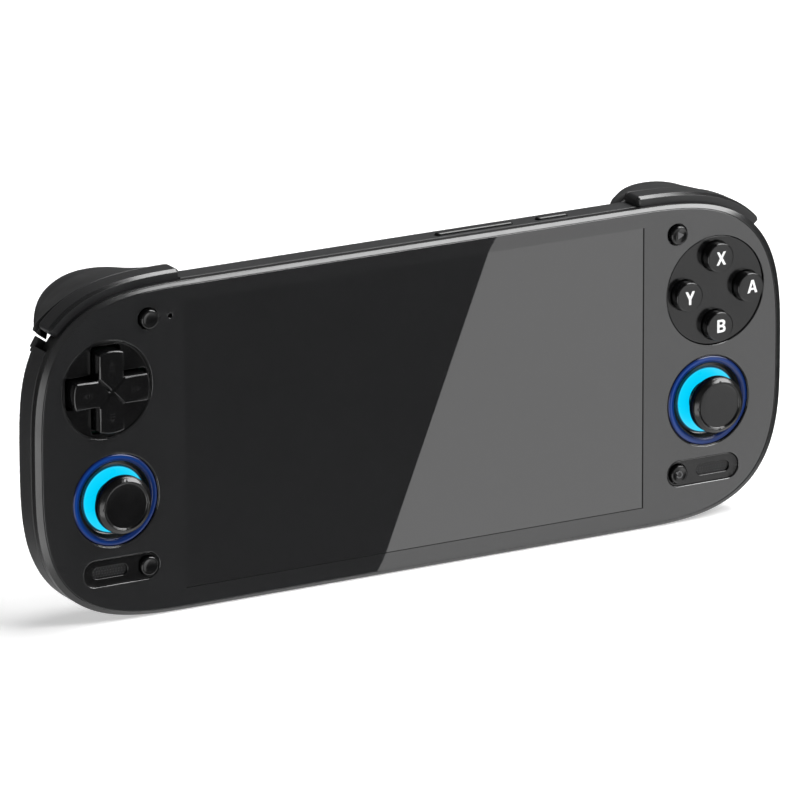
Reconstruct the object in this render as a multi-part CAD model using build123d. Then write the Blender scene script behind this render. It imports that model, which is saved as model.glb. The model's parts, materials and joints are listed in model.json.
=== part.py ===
from build123d import *
import math
import os

# ---------------------------------------------------------------------------
# Handheld game console.  Millimetres.
#
# Everything is first laid out in the plane of the cover glass: x to the right,
# y up the screen, z out of the screen, with the front of the glass at z = 0 and
# the middle of the screen at x = y = 0.  A depth d is the plane z = -d.
# put() then turns each piece upright: +X right, +Z up, the screen facing -Y.
# The origin is the middle of the lowest side of the overall box.
# ---------------------------------------------------------------------------

# overall
BODY_W = 214.8           # width over the rounded ends
BODY_H = 85.0            # height of the body without the triggers
BODY_T = 14.0            # thickness between the hand grips
FLAT_X = 62.0            # half-length of the straight top and bottom walls
END_N = 3.25             # exponent of the superellipse ends
END_A = BODY_W / 2 - FLAT_X
END_B = BODY_H / 2
REAR_R = 6.4             # rounding between the side walls and the back
WALL = 1.6               # wall of the rear cover
GRIP_D = 18.6            # depth of the back of the grips
TRIG_D = 27.0            # depth of the back of the trigger lobes
CAP_TOP = 5.8            # height of the stick caps over the glass

# glass and front frame
GLASS_T = 0.8
GLASS_IN = (1.75, 1.05)  # inset of the glass edge at the ends, at top and bottom
TRIM_IN = (1.66, 0.97)   # inset of the trim's inner edge
TRIM_D = 0.66            # depth of the outer edge of the bevel
FRAME_D0, FRAME_D1 = 1.0, 2.6
PLATE_D = 1.8            # underside of the frame's plate
SEAM = 0.14              # open line between frame and rear cover

# screen
SCREEN_W, SCREEN_H = 132.2, 74.4
PANEL_W, PANEL_H, PANEL_T = 136.4, 78.0, 1.4

# controls: centres in the glass plane
DPAD_C = (-87.6, 17.8)
DPAD_R = 12.6
DPAD_ARM = 6.6
DPAD_LEN = 20.5
DPAD_PIVOT_D = 4.8
ABXY_C = (87.4, 18.1)
ABXY_R = 14.4
ABXY_P = 9.1
BTN_R = 3.95
BTN_HOLE = 4.3
STICK_C = (85.5, -11.0)
STICK_R = 12.1
STICK_PIVOT_D = 8.3
CAP_R = 7.35
KEY_C = (76.0, 34.2)     # small keys above the controls
KEY_R, KEY_HOLE = 2.4, 2.85
PILL_C = (84.1, -29.3)
PILL_L, PILL_W = 21.6, 7.4
PILL_KEY_X = 76.6        # key in the pill
GRILLE_X = 87.2          # middle of the speaker slot
GRILLE_L, GRILLE_W = 9.8, 2.9

# top wall keys
VOL_X0, VOL_X1 = 8.2, 30.4
PWR_X0, PWR_X1 = 37.3, 46.4
TOPKEY_D, TOPKEY_W, TOPKEY_H = 5.2, 1.9, 0.62

# shoulders
SH_X0 = 65.6             # inner end of bumper and trigger
SH_X1 = 100.4            # outer end of the bumper
BUMP_UP = 2.5            # how far the bumper stands over the body
BUMP_D0, BUMP_D1 = 2.35, 8.6
BUMP_BEVEL = (0.65, 1.05)  # bevel on its front edge, in height and in depth
TRIG_D0 = 8.9
REC_A, REC_B = 2.4, 6.5  # recess depth under bumper and under trigger
BUMP_PIN = (68.2, 40.4)
TRIG_PIN_Y, TRIG_PIN_D = 38.4, 10.9

# inside
BAT = (-56.0, 20.0, -33.0, 6.0, 3.4, 9.6)   # x0, x1, y0, y1, d0, d1
FAN_C, FAN_R, FAN_D0, FAN_D1 = (33.0, 21.0), 13.5, 6.6, 11.8
SCREWS = [(60.0, 33.0), (60.0, 0.0), (60.0, -34.0), (-60.0, 33.0), (-60.0, 0.0), (-60.0, -34.0)]
USB_D = 6.7
JACK_X = 34.0
JACK_R = 1.8

YG = -(TRIG_D - CAP_TOP) / 2      # depth position of the glass front in the upright frame
ZC = BODY_H / 2                   # height of the screen's middle

os.makedirs("parts", exist_ok=True)


def solid_only(shape):
    s = shape.solids()
    return s[0] if len(s) == 1 else Compound(children=list(s))


def put(name, shape):
    """Turns a piece upright, moves it to the row origin and writes it."""
    out = Pos(0, YG, ZC) * (Rot(90, 0, 0) * shape)
    out = solid_only(out)
    export_step(out, "parts/%s.step" % name)
    print("%-18s %d solid(s) %10.1f mm3" % (name, len(out.solids()), out.volume))


def end_points(a, b, n=12):
    pts = []
    for i in range(n + 1):
        t = math.pi / 2 * (1 - i / n)
        pts.append((a * abs(math.cos(t)) ** (2 / END_N), b * abs(math.sin(t)) ** (2 / END_N)))
    return pts


def outline_wire(ia, ib, z):
    """Body outline, inset by ia at the ends and ib at top and bottom."""
    a, b = END_A - ia, END_B - ib
    q = end_points(a, b)
    right = [(FLAT_X + x, y, z) for x, y in q] + [(FLAT_X + x, -y, z) for x, y in reversed(q[:-1])]
    left = [(-x, -y, z) for x, y, _ in right]
    return Wire([
        Edge.make_line((-FLAT_X, b, z), (FLAT_X, b, z)),
        Edge.make_spline([Vector(*p) for p in right], tangents=[Vector(1, 0, 0), Vector(-1, 0, 0)]),
        Edge.make_line((FLAT_X, -b, z), (-FLAT_X, -b, z)),
        Edge.make_spline([Vector(*p) for p in left], tangents=[Vector(-1, 0, 0), Vector(1, 0, 0)]),
    ])


def slab(ia, ib, d0, d1):
    """Body outline extruded from depth d0 to depth d1."""
    return Solid.extrude(Face(outline_wire(ia, ib, -d1)), Vector(0, 0, d1 - d0))


def prism(pts, d0, d1):
    w = Wire.make_polygon([Vector(x, y, -d1) for x, y in pts], close=True)
    return Solid.extrude(Face(w), Vector(0, 0, d1 - d0))


def cyl(x, y, r, d0, d1):
    return Pos(x, y, -(d0 + d1) / 2) * Cylinder(r, d1 - d0)


def ring(x, y, ro, ri, d0, d1):
    return cyl(x, y, ro, d0, d1) - cyl(x, y, ri, d0 - 1, d1 + 1)


def box(x0, x1, y0, y1, d0, d1):
    return Pos((x0 + x1) / 2, (y0 + y1) / 2, -(d0 + d1) / 2) * Box(x1 - x0, y1 - y0, d1 - d0)


def stadium(x, y, length, width, d0, d1):
    return Pos(x, y, -d1) * extrude(SlotOverall(length, width), d1 - d0)


def mir(shape):
    return shape.mirror(Plane.YZ)


def both(shape):
    return [shape, mir(shape)]


def cut_all(body, tools):
    return body - list(tools)


# ---------------------------------------------------------------------------
# points along the right-hand shoulder
# ---------------------------------------------------------------------------
def outline_at(x):
    """Point and outward normal of the upper outline at x >= FLAT_X."""
    u = min(max((x - FLAT_X) / END_A, 0.0), 0.999999)
    v = (1 - u ** END_N) ** (1 / END_N)
    gx = u ** (END_N - 1) / END_A
    gy = v ** (END_N - 1) / END_B
    g = math.hypot(gx, gy)
    return (x, END_B * v), (gx / g, gy / g)


def off(x, u):
    (px, py), (nx, ny) = outline_at(x)
    return px + nx * u, py + ny * u


def band(xs, u0, u1, d0, d1):
    """Curved bar between offsets u0 and u1 of the outline, over stations xs."""
    top = [Vector(*off(x, u1), -d1) for x in xs]
    bot = [Vector(*off(x, u0), -d1) for x in reversed(xs)]
    w = Wire([Edge.make_spline(top), Edge.make_line(top[-1], bot[0]),
              Edge.make_spline(bot), Edge.make_line(bot[-1], top[0])])
    return Solid.extrude(Face(w), Vector(0, 0, d1 - d0))


def stations(x0, x1, n):
    """Stations crowding towards the steep outer end."""
    return [x0 + (x1 - x0) * math.sin(math.pi / 2 * i / (n - 1)) for i in range(n)]


# ---------------------------------------------------------------------------
# front: glass, trim, frame, screen, chassis plate
# ---------------------------------------------------------------------------
def front_holes(d0, d1, grow=0.0, keys=0.0):
    h = [cyl(*DPAD_C, DPAD_R + grow, d0, d1), cyl(*ABXY_C, ABXY_R + grow, d0, d1)]
    h += both(cyl(*STICK_C, STICK_R + grow, d0, d1))
    h += both(cyl(*KEY_C, KEY_HOLE + keys, d0, d1))
    h += both(stadium(*PILL_C, PILL_L + 2 * grow, PILL_W + 2 * grow, d0, d1))
    return h


glass = slab(*GLASS_IN, 0, GLASS_T)
glass = glass.chamfer(0.12, None, glass.faces().sort_by(Axis.Z)[-1].outer_wire().edges())
front_glass = cut_all(glass, front_holes(-1, 3) + [cyl(-69.75, 34.2, 0.62, -1, 3)])
put("front_glass", front_glass)

bevel = Solid.make_loft([outline_wire(0, 0, -TRIM_D), outline_wire(TRIM_IN[0] - 0.1, TRIM_IN[1] - 0.06, -0.02)], True)
trim = slab(0, 0, TRIM_D, FRAME_D0).fuse(bevel) - slab(*TRIM_IN, -1, 3)
put("edge_trim", trim)

frame = slab(0, 0, FRAME_D0, FRAME_D1) - slab(1.9, 1.9, PLATE_D, 3)
frame = frame + slab(GLASS_IN[0] + 0.05, GLASS_IN[1] + 0.05, GLASS_T, FRAME_D0 + 0.1)
frame = frame - (Pos(0, 0, -2) * Box(PANEL_W + 0.6, PANEL_H + 0.6, 6))
frame = cut_all(frame, front_holes(0, 3, 0.05, 0.0) + [cyl(-69.75, 34.2, 0.9, 0, 3)])
shoulder_x = stations(SH_X0 - 0.3, 102.6, 12)
strip_cut = band(shoulder_x, -4.2, 6.0, 2.1, 3.2)
frame = cut_all(frame, both(strip_cut))
put("front_frame", frame)

panel = Pos(0, 0, -GLASS_T - PANEL_T / 2) * extrude(RectangleRounded(PANEL_W, PANEL_H, 1.2), PANEL_T / 2, both=True)
put("display_panel", panel)

mid = slab(2.3, 2.3, 2.7, 3.2)
mid = cut_all(mid, [cyl(*DPAD_C, 12.95, 0, 5), cyl(*ABXY_C, 14.75, 0, 5)]
              + both(cyl(*STICK_C, 12.95, 0, 5)) + both(cyl(*KEY_C, 3.8, 0, 5))
              + both(stadium(*PILL_C, 22.6, 8.4, 0, 5))
              + both(band(stations(63.3, 105.2, 12), -4.4, 6.0, 0, 5)))
for sx, sy in SCREWS:
    mid = mid + cyl(sx, sy, 2.5, 3.2, BODY_T - WALL - 0.05)
for sx, sy in SCREWS:
    mid = mid - cyl(sx, sy, 1.02, 5.5, 20)
put("mid_plate", mid)

# ---------------------------------------------------------------------------
# rear cover
# ---------------------------------------------------------------------------
cover = slab(0, 0, FRAME_D1 + SEAM, BODY_T)
cover = cover.fillet(REAR_R, cover.faces().sort_by(Axis.Z)[0].outer_wire().edges())
cover = cover.chamfer(0.3, None, cover.faces().sort_by(Axis.Z)[-1].outer_wire().edges())
inner = slab(WALL, WALL, 2, BODY_T - WALL)
inner = inner.fillet(REAR_R - WALL, inner.faces().sort_by(Axis.Z)[0].outer_wire().edges())

GRIP = [(71.5, -31.5), (80.0, -34.0), (89.0, -32.5), (96.0, -26.5), (100.0, -16.5), (101.2, -4.0),
        (98.6, 7.0), (92.0, 12.6), (84.0, 11.2), (77.5, 3.5), (72.5, -8.0), (69.2, -21.0)]
GRIP_MID = (90.5, -11.5)


def grip_wire(k, d):
    pts = [Vector(GRIP_MID[0] + (x - GRIP_MID[0]) * k, GRIP_MID[1] + (y - GRIP_MID[1]) * k, -d) for x, y in GRIP]
    return Wire([Edge.make_spline(pts, periodic=True)])


grip = Solid.make_loft([grip_wire(1.03, BODY_T - 1.0), grip_wire(0.95, BODY_T + 0.9), grip_wire(0.80, BODY_T + 3.1),
                        grip_wire(0.58, GRIP_D)], False)
grip = grip.fillet(1.6, grip.faces().sort_by(Axis.Z)[0].outer_wire().edges())
grip_in = Solid.make_loft([grip_wire(0.90, BODY_T - WALL - 0.3), grip_wire(0.80, BODY_T + 0.6), grip_wire(0.50, GRIP_D - 1.7)], False)
cover = cover + both(grip)
concave = [e for e in cover.edges() if abs(e.center().Z + BODY_T) < 0.05
           and abs(e.bounding_box().size.Z) < 0.01 and 66 < abs(e.center().X) < 104 and e.length > 30]
try:
    cover = cover.fillet(2.2, concave)
except Exception as err:
    print("grip blend left out", err)
cover = cover - inner
cover = cut_all(cover, both(grip_in))

# shoulder recesses with their floors
xs_a = stations(SH_X0 - 0.3, 102.9, 12)
floor_a = band(xs_a, -REC_A - WALL, -REC_A, FRAME_D1 + SEAM, TRIG_D0)
floor_b = band(xs_a, -REC_B - WALL, -REC_B, TRIG_D0 - WALL, BODY_T - 0.4)
step_ab = band(xs_a, -REC_B - WALL, -REC_A, TRIG_D0 - WALL, TRIG_D0)
in_wall = (box(SH_X0 - 0.3 - WALL, SH_X0 - 0.3, END_B - REC_A - WALL, END_B - 1.0, FRAME_D1 + SEAM, BODY_T - 2.5)
           + box(SH_X0 - 0.3 - WALL, SH_X0 - 0.3, END_B - REC_B - WALL, END_B - 1.0, TRIG_D0 - WALL, BODY_T - 2.5))
(ex, ey), (enx, eny) = outline_at(102.9)


def end_wall(deep, d0, d1):
    return prism([(ex - enx * 1.0, ey - eny * 1.0), (ex - enx * deep, ey - eny * deep),
                  (ex - enx * deep + eny * WALL, ey - eny * deep - enx * WALL),
                  (ex - enx * 1.0 + eny * WALL, ey - eny * 1.0 - enx * WALL)], d0, d1)


out_wall = end_wall(REC_A + WALL, FRAME_D1 + SEAM, BODY_T - 2.2) + end_wall(REC_B + WALL, TRIG_D0 - WALL, BODY_T - 2.2)
pocket_a = band(xs_a, -REC_A, 7.0, 2.0, TRIG_D0 - 0.01)
pocket_b = band(xs_a, -REC_B, 7.0, TRIG_D0 - 0.02, BODY_T + 2)
hinge_block = box(66.2, 70.4, 38.2, 40.9, FRAME_D1 + SEAM, 8.2)
hinge_slot = box(66.9, 69.5, 37.0, 43.0, 3.9, 6.7)
hinge_bore = cyl(*BUMP_PIN, 0.62, 2.9, 7.9)
for side in (0, 1):
    m = (lambda s: s) if side == 0 else mir
    cover = cover - [m(pocket_a), m(pocket_b)]
    cover = cover + [m(floor_a), m(step_ab), m(floor_b), m(in_wall), m(out_wall), m(hinge_block)]
    ears = [box(68.0, 70.0, 35.0, 38.4, TRIG_PIN_D - 1.9, TRIG_PIN_D + 1.9) + Pos(69.0, TRIG_PIN_Y, -TRIG_PIN_D) * (Rot(0, 90, 0) * Cylinder(1.9, 2.0)),
            box(80.0, 82.0, 33.6, 38.4, TRIG_PIN_D - 1.9, TRIG_PIN_D + 1.9) + Pos(81.0, TRIG_PIN_Y, -TRIG_PIN_D) * (Rot(0, 90, 0) * Cylinder(1.9, 2.0))]
    cover = cover + [m(e) for e in ears]
    cover = cover - [m(hinge_slot), m(hinge_bore)]
    cover = cover - m(Pos(75.0, TRIG_PIN_Y, -TRIG_PIN_D) * (Rot(0, 90, 0) * Cylinder(0.82, 20)))

# top wall slots, ports, screw holes and vents
cuts = []
for x0, x1 in ((VOL_X0, VOL_X1), (PWR_X0, PWR_X1)):
    slot = Rot(90, 0, 0) * extrude(SlotOverall(x1 - x0 + 0.3, TOPKEY_W + 0.3), 6, both=True)
    cuts.append(Pos((x0 + x1) / 2, END_B, -TOPKEY_D) * slot)
usb_cut = Rot(90, 0, 0) * extrude(SlotOverall(9.3, 3.6), 4, both=True)
cuts.append(Pos(0, -END_B, -USB_D) * usb_cut)
cuts.append(Pos(JACK_X, -END_B, -USB_D) * (Rot(90, 0, 0) * Cylinder(3.0, 8)))
for sx, sy in SCREWS:
    cuts.append(cyl(sx, sy, 1.15, 11, 20))
    cuts.append(cyl(sx, sy, 2.15, BODY_T - 1.0, 20))
for i in range(-5, 6):
    half = math.sqrt(12.4 ** 2 - (i * 2.3) ** 2)
    if half > 2:
        cuts.append(stadium(FAN_C[0], FAN_C[1] + i * 2.3, 2 * half, 1.2, BODY_T - 3, BODY_T + 1))
for i in range(9):
    cuts.append(Pos(-6.0 + i * 2.6, 21.0, -BODY_T) * (Rot(0, 0, 90) * extrude(SlotOverall(22.0, 1.2), 3, both=True)))
cover = cut_all(cover, cuts)
put("rear_cover", cover)

# ---------------------------------------------------------------------------
# D-pad
# ---------------------------------------------------------------------------
dx, dy = DPAD_C


def cross(arm, length, d0, d1, r=0.8):
    a = extrude(RectangleRounded(length, arm, r), d1 - d0)
    b = extrude(RectangleRounded(arm, length, r), d1 - d0)
    return Pos(dx, dy, -d1) * (a + b)


well = cyl(dx, dy, DPAD_R - 0.06, 0.12, 1.95) - cyl(dx, dy, DPAD_R - 0.35, -1, 0.6)
well = well - cyl(dx, dy, DPAD_R - 0.9, 1.4, 3) + ring(dx, dy, 13.35, 12.0, 1.83, 2.3)
well = well - cross(DPAD_ARM + 0.9, DPAD_LEN + 0.9, 0, 3, 1.0)
put("dpad_well", well)

pad = cross(DPAD_ARM, DPAD_LEN, -1.9, 3.3, 1.0)
pad = pad.fillet(0.45, pad.faces().sort_by(Axis.Z)[-1].outer_wire().edges())
for ang in (45, 135):
    groove = Pos(dx, dy, 1.9) * (Rot(0, 0, ang) * (Rot(45, 0, 0) * Box(9.2, 0.8, 0.8)))
    pad = pad - groove
pad = pad + cyl(dx, dy, 11.0, 3.2, 4.0)
pad = pad - cyl(dx, dy, 2.2, 3.4, 6.0)
pad = pad + ring(dx, dy, 2.9, 1.7, 3.9, 4.8)
put("dpad", pad)
ball = Pos(dx, dy, -DPAD_PIVOT_D) * Sphere(1.3)
put("dpad_pivot_ball", ball)
mem = cyl(dx, dy, 12.0, 5.5, 6.1) - cyl(dx, dy, 3.4, 5, 7)
for ex_, ey_ in ((7.4, 0), (-7.4, 0), (0, 7.4), (0, -7.4)):
    mem = mem + Pos(dx + ex_, dy + ey_, -5.15) * Cone(2.3, 1.4, 0.7) - cyl(dx + ex_, dy + ey_, 1.0, 5.35, 7)
put("dpad_membrane", mem)

# ---------------------------------------------------------------------------
# face buttons
# ---------------------------------------------------------------------------
ax_, ay_ = ABXY_C
BTN = {"button_x": (0, ABXY_P), "button_a": (ABXY_P, 0), "button_b": (0, -ABXY_P), "button_y": (-ABXY_P, 0)}
plate = cyl(ax_, ay_, ABXY_R - 0.08, 0.3, 1.95) + ring(ax_, ay_, 15.1, 14.0, 1.83, 2.3)
plate = plate - cyl(ax_, ay_, 13.85, 1.5, 3)
plate = cut_all(plate, [cyl(ax_ + bx, ay_ + by, BTN_HOLE, 0, 3) for bx, by in BTN.values()])
put("abxy_well", plate)
for name, (bx, by) in BTN.items():
    b = cyl(ax_ + bx, ay_ + by, BTN_R, -2.2, 1.8)
    b = b.fillet(0.55, b.faces().sort_by(Axis.Z)[-1].edges())
    b = b + cyl(ax_ + bx, ay_ + by, 4.6, 1.65, 2.5)
    b = b - cyl(ax_ + bx, ay_ + by, 2.9, 0.6, 5)
    b = b + cyl(ax_ + bx, ay_ + by, 1.6, 0.4, 3.5)
    put(name, b)
mem = cyl(ax_, ay_, 14.0, 5.5, 6.1)
for bx, by in BTN.values():
    mem = mem + Pos(ax_ + bx, ay_ + by, -5.2) * Cone(2.8, 1.8, 0.6) - cyl(ax_ + bx, ay_ + by, 1.2, 5.4, 7)
put("abxy_membrane", mem)

# ---------------------------------------------------------------------------
# sticks
# ---------------------------------------------------------------------------
sx0, sy0 = STICK_C
P = STICK_PIVOT_D


def turned(points):
    """Solid of revolution about the stick's axis from (radius, z) points."""
    w = Wire.make_polygon([Vector(r, 0, z) for r, z in points], close=True)
    return Pos(sx0, sy0, 0) * Solid.revolve(Face(w), 360, Axis.Z)


bowl = turned([(STICK_R - 0.06, -0.12), (STICK_R - 0.06, -1.86), (12.75, -1.86), (12.75, -2.3), (5.5, -2.3), (5.5, -1.68),
               (8.68, -1.68), (8.68, -1.12), (9.88, -0.45), (9.88, -1.75), (11.87, -1.75), (11.87, -0.12)])
crown = [(11.82, -0.55), (11.62, -0.27), (11.3, -0.13), (10.9, -0.1), (10.5, -0.15), (10.15, -0.33), (9.95, -0.65)]
w = Wire([Edge.make_spline([Vector(r, 0, z) for r, z in crown]),
          Edge.make_line(Vector(9.95, 0, -0.65), Vector(9.95, 0, -1.7)),
          Edge.make_line(Vector(9.95, 0, -1.7), Vector(11.82, 0, -1.7)),
          Edge.make_line(Vector(11.82, 0, -1.7), Vector(11.82, 0, -0.55))])
ringlight = Pos(sx0, sy0, 0) * Solid.revolve(Face(w), 360, Axis.Z)
glow = ring(sx0, sy0, 8.62, 5.6, 1.12, 1.62)
module = box(sx0 - 7.7, sx0 + 7.7, sy0 - 7.7, sy0 + 7.7, 6.2, 12.1)
cav = Pos(sx0, sy0, -P) * Sphere(6.3) & box(sx0 - 7, sx0 + 7, sy0 - 7, sy0 + 7, 1, 11.3)
module = module - cav
module = module - (Pos(sx0, sy0, -P) * (Rot(0, 90, 0) * Cylinder(0.74, 14.6)))
gimbal = cyl(sx0, sy0, 4.4, P - 1.1, P + 1.1) - cyl(sx0, sy0, 2.9, P - 3, P + 3)
gimbal = gimbal + (Pos(sx0, sy0, -P) * (Rot(0, 90, 0) * Cylinder(0.7, 14.2))
                   - Pos(sx0, sy0, -P) * (Rot(0, 90, 0) * Cylinder(1.0, 6.6)))
gimbal = gimbal - (Pos(sx0, sy0, -P) * (Rot(90, 0, 0) * Cylinder(0.64, 12)))
dome = Pos(sx0, sy0, -P) * (Sphere(5.9) - Sphere(5.1)) & box(sx0 - 7, sx0 + 7, sy0 - 7, sy0 + 7, 0, P - 2.95)
shaft = dome + cyl(sx0, sy0, 1.5, 3.0, P + 1.6) + cyl(sx0, sy0, 2.7, -1.5, 2.9) + cyl(sx0, sy0, 1.55, -4.2, 0)
shaft = shaft + (Pos(sx0, sy0, -P) * (Rot(90, 0, 0) * Cylinder(0.6, 7.8)))
prof = [(0, 5.15), (2.0, 5.2), (4.0, 5.42), (5.6, 5.72), (6.15, CAP_TOP), (6.5, 5.7), (7.1, 5.15), (CAP_R, 4.4), (7.25, 3.5), (6.9, 2.65)]
with BuildPart() as capb:
    with BuildSketch(Plane.XZ) as cs:
        with BuildLine():
            Line((1.65, 4.55), (0, 4.55))
            Line((0, 4.55), prof[0])
            Spline(*prof[:5], tangents=[(1, 0), (1, 0.1)])
            Spline(*prof[4:], tangents=[(1, -0.1), (-0.45, -1)])
            Polyline(prof[-1], (3.4, 1.95), (1.65, 1.95), (1.65, 4.55))
        make_face()
    revolve(axis=Axis.Z)
cap = Pos(sx0, sy0, 0) * capb.part
stick_parts = {"stick_well": bowl, "stick_ring": ringlight, "stick_glow": glow, "stick_module": module,
               "stick_gimbal": gimbal, "stick_shaft": shaft, "stick_cap": cap}
for name, shp in stick_parts.items():
    put(name + "_r", shp)
    put(name + "_l", mir(solid_only(shp)))

# ---------------------------------------------------------------------------
# small round keys, pill trims, speakers
# ---------------------------------------------------------------------------
kx, ky = KEY_C
key = cyl(kx, ky, KEY_R, -1.0, 1.9)
key = key.fillet(0.35, key.faces().sort_by(Axis.Z)[-1].edges())
key = key + cyl(kx, ky, 3.3, 1.95, 2.45) + cyl(kx, ky, 1.2, 1.0, 4.7)
put("start_button", key)
put("select_button", mir(solid_only(key)))

px0, py0 = PILL_C
trim_r = stadium(px0, py0, PILL_L - 0.12, PILL_W - 0.12, 0.3, 1.9)
trim_r = trim_r + (stadium(px0, py0, PILL_L + 0.9, PILL_W + 0.9, 1.85, 2.3))
trim_r = trim_r - cyl(PILL_KEY_X, py0, KEY_HOLE + 0.1, 0, 3)
trim_r = trim_r - stadium(GRILLE_X, py0, GRILLE_L + 1.6, GRILLE_W + 1.6, 0.85, 3) - stadium(GRILLE_X, py0, GRILLE_L, GRILLE_W, 0, 3)
put("pill_trim_r", trim_r)
put("pill_trim_l", mir(solid_only(trim_r)))
mesh_r = stadium(GRILLE_X, py0, GRILLE_L + 1.4, GRILLE_W + 1.4, 0.87, 1.1)
holes = []
for row in range(4):
    y = py0 + (row - 1.5) * 0.66
    n = 12 if row in (1, 2) else 11
    for i in range(n):
        holes.append(cyl(GRILLE_X + (i - (n - 1) / 2) * 0.78, y, 0.22, 0, 2))
mesh_r = cut_all(mesh_r, holes)
put("speaker_meshes", Compound(children=[solid_only(mesh_r), mir(solid_only(mesh_r))]))

key = cyl(PILL_KEY_X, py0, KEY_R + 0.15, -0.7, 1.9)
key = key.fillet(0.35, key.faces().sort_by(Axis.Z)[-1].edges())
key = key + cyl(PILL_KEY_X, py0, 3.15, 2.35, 2.75) + cyl(PILL_KEY_X, py0, 1.2, 1.0, 4.7)
put("back_button", key)
put("home_button", mir(solid_only(key)))

spk = box(81.2, 93.6, py0 - 4.4, py0 + 4.4, 3.3, 7.9) - stadium(GRILLE_X, py0, 9.6, 3.6, 3, 6.8)
put("speaker_r", spk)
put("speaker_l", mir(solid_only(spk)))

# ---------------------------------------------------------------------------
# control boards
# ---------------------------------------------------------------------------
cb = slab(6.0, 6.0, 6.2, 7.2) & box(64.5, 110, -40, 40, 5, 9)
cb = cb - (Pos(sx0, sy0, -7) * Box(15.8, 15.8, 6)) - box(80.8, 110, -40, py0 + 4.8, 5, 9)
cb = cb - box(64, 71, 35.5, 45, 5, 9)
for sx, sy in SCREWS:
    cb = cb - cyl(sx, sy, 2.8, 5, 9)
cb = cb + box(kx - 1.8, kx + 1.8, ky - 1.8, ky + 1.8, 5.1, 6.3) + box(PILL_KEY_X - 1.8, PILL_KEY_X + 1.8, py0 - 1.8, py0 + 1.8, 5.1, 6.3)
put("control_board_r", cb)
put("control_board_l", mir(solid_only(cb)))

# ---------------------------------------------------------------------------
# top keys
# ---------------------------------------------------------------------------
for name, x0, x1 in (("volume_rocker", VOL_X0, VOL_X1), ("power_button", PWR_X0, PWR_X1)):
    xm = (x0 + x1) / 2
    k = Pos(xm, END_B - 0.9, -TOPKEY_D) * (Rot(90, 0, 0) * extrude(SlotOverall(x1 - x0, TOPKEY_W), 1.52, both=True))
    k = k.chamfer(0.3, None, k.faces().sort_by(Axis.Y)[-1].edges())
    k = k + box(x0 - 0.9, x1 + 0.9, END_B - 3.0, END_B - 2.3, TOPKEY_D - 1.5, TOPKEY_D + 1.5)
    k = k + (box(xm - 8, xm - 6, END_B - 3.4, END_B - 2.6, TOPKEY_D - 0.8, TOPKEY_D + 0.8) + box(xm + 6, xm + 8, END_B - 3.4, END_B - 2.6, TOPKEY_D - 0.8, TOPKEY_D + 0.8)
             if name == "volume_rocker" else box(xm - 1, xm + 1, END_B - 3.4, END_B - 2.6, TOPKEY_D - 0.8, TOPKEY_D + 0.8))
    put(name, k)
skb = box(7, 50, 37.0, 37.7, 3.8, 7.4)
for xm in ((VOL_X0 + VOL_X1) / 2 - 7, (VOL_X0 + VOL_X1) / 2 + 7, (PWR_X0 + PWR_X1) / 2):
    skb = skb + box(xm - 1.8, xm + 1.8, 37.6, 38.6, TOPKEY_D - 1.2, TOPKEY_D + 1.2)
put("side_key_board", skb)

# ---------------------------------------------------------------------------
# bumpers and triggers
# ---------------------------------------------------------------------------
xb = stations(SH_X0, SH_X1, 12)
bump = band(xb, -0.6, BUMP_UP, BUMP_D0, BUMP_D1)
ends = [e for e in bump.edges() if abs(abs((e @ 1 - e @ 0).Z) - (BUMP_D1 - BUMP_D0)) < 0.1
        and e.center().Y > off(min(e.center().X, SH_X1), 1.0)[1] - 0.9]
bump = bump.fillet(1.1, ends)
front = bump.faces().sort_by(Axis.Z)[-1]
rim = [e for e in front.edges() if (e.length > 20 and e.center().Y > off(85, 1.0)[1]) or e.length < 2.6]
bump = bump.chamfer(*BUMP_BEVEL, rim, front)
bump = bump + (cyl(*BUMP_PIN, 1.25, 4.1, 6.5) + box(BUMP_PIN[0] - 1.25, BUMP_PIN[0] + 1.25, BUMP_PIN[1], 42.4, 4.1, 6.5))
bump = bump - cyl(*BUMP_PIN, 0.64, 0, 9)
put("r1_button", bump)
put("l1_button", mir(solid_only(bump)))
pin = cyl(*BUMP_PIN, 0.6, 2.95, 7.85)
put("bumper_pins", Compound(children=[solid_only(pin), mir(solid_only(pin))]))

# sections of the trigger: station, depth where the top ends, height there over the outline, drop of the back
LOBE = [(65.8, 13.6, -2.0, 0.40), (67.4, 16.8, -1.7, 0.64), (70.2, 19.8, -1.4, 0.88), (74.0, 22.8, -0.85, 1.0), (78.0, 24.2, -0.35, 1.0),
        (82.0, 24.4, 0.1, 1.0), (86.0, 24.2, 0.35, 1.0), (90.0, 23.4, 0.3, 1.0), (94.0, 21.6, 0.15, 0.9), (97.0, 18.9, 0.0, 0.75),
        (99.6, 15.5, -0.4, 0.55), (101.2, 12.9, -0.9, 0.42)]
NOSE = TRIG_D - max(d for _, d, _, _ in LOBE)
TRIG_UP, TRIG_WALL = 2.25, 1.75


def sec(x, dn, crest, drop):
    # the low outer end starts further back, so that it clears the bumper when the trigger turns
    start = TRIG_D0 + 0.185 * max(0.0, TRIG_PIN_Y - off(x, 0.6)[1])
    top = [(TRIG_UP + (crest - TRIG_UP) * w + 0.45 * w * (1 - w), start + (dn - start) * w) for w in (0.0, 0.33, 0.66)]
    thick = min(TRIG_WALL, 3.2 * drop)
    o = top + [(crest, dn)] + [(crest - k * drop, dn + e * NOSE) for k, e in
                               ((0.7, 0.5), (2.1, 0.84), (4.5, 1.0), (7.0, 0.94), (9.2, 0.66))]
    i = [(crest - k * drop, dn + e * NOSE) for k, e in ((8.8, 0.02), (6.8, 0.28), (4.5, 0.34))]
    i += [(crest - thick - 0.35 * drop, dn - 0.1 * NOSE)] + [(u - thick, d) for u, d in reversed(top)]
    return [Vector(*off(x, u), -d) for u, d in o], [Vector(*off(x, u), -d) for u, d in i]


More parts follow.
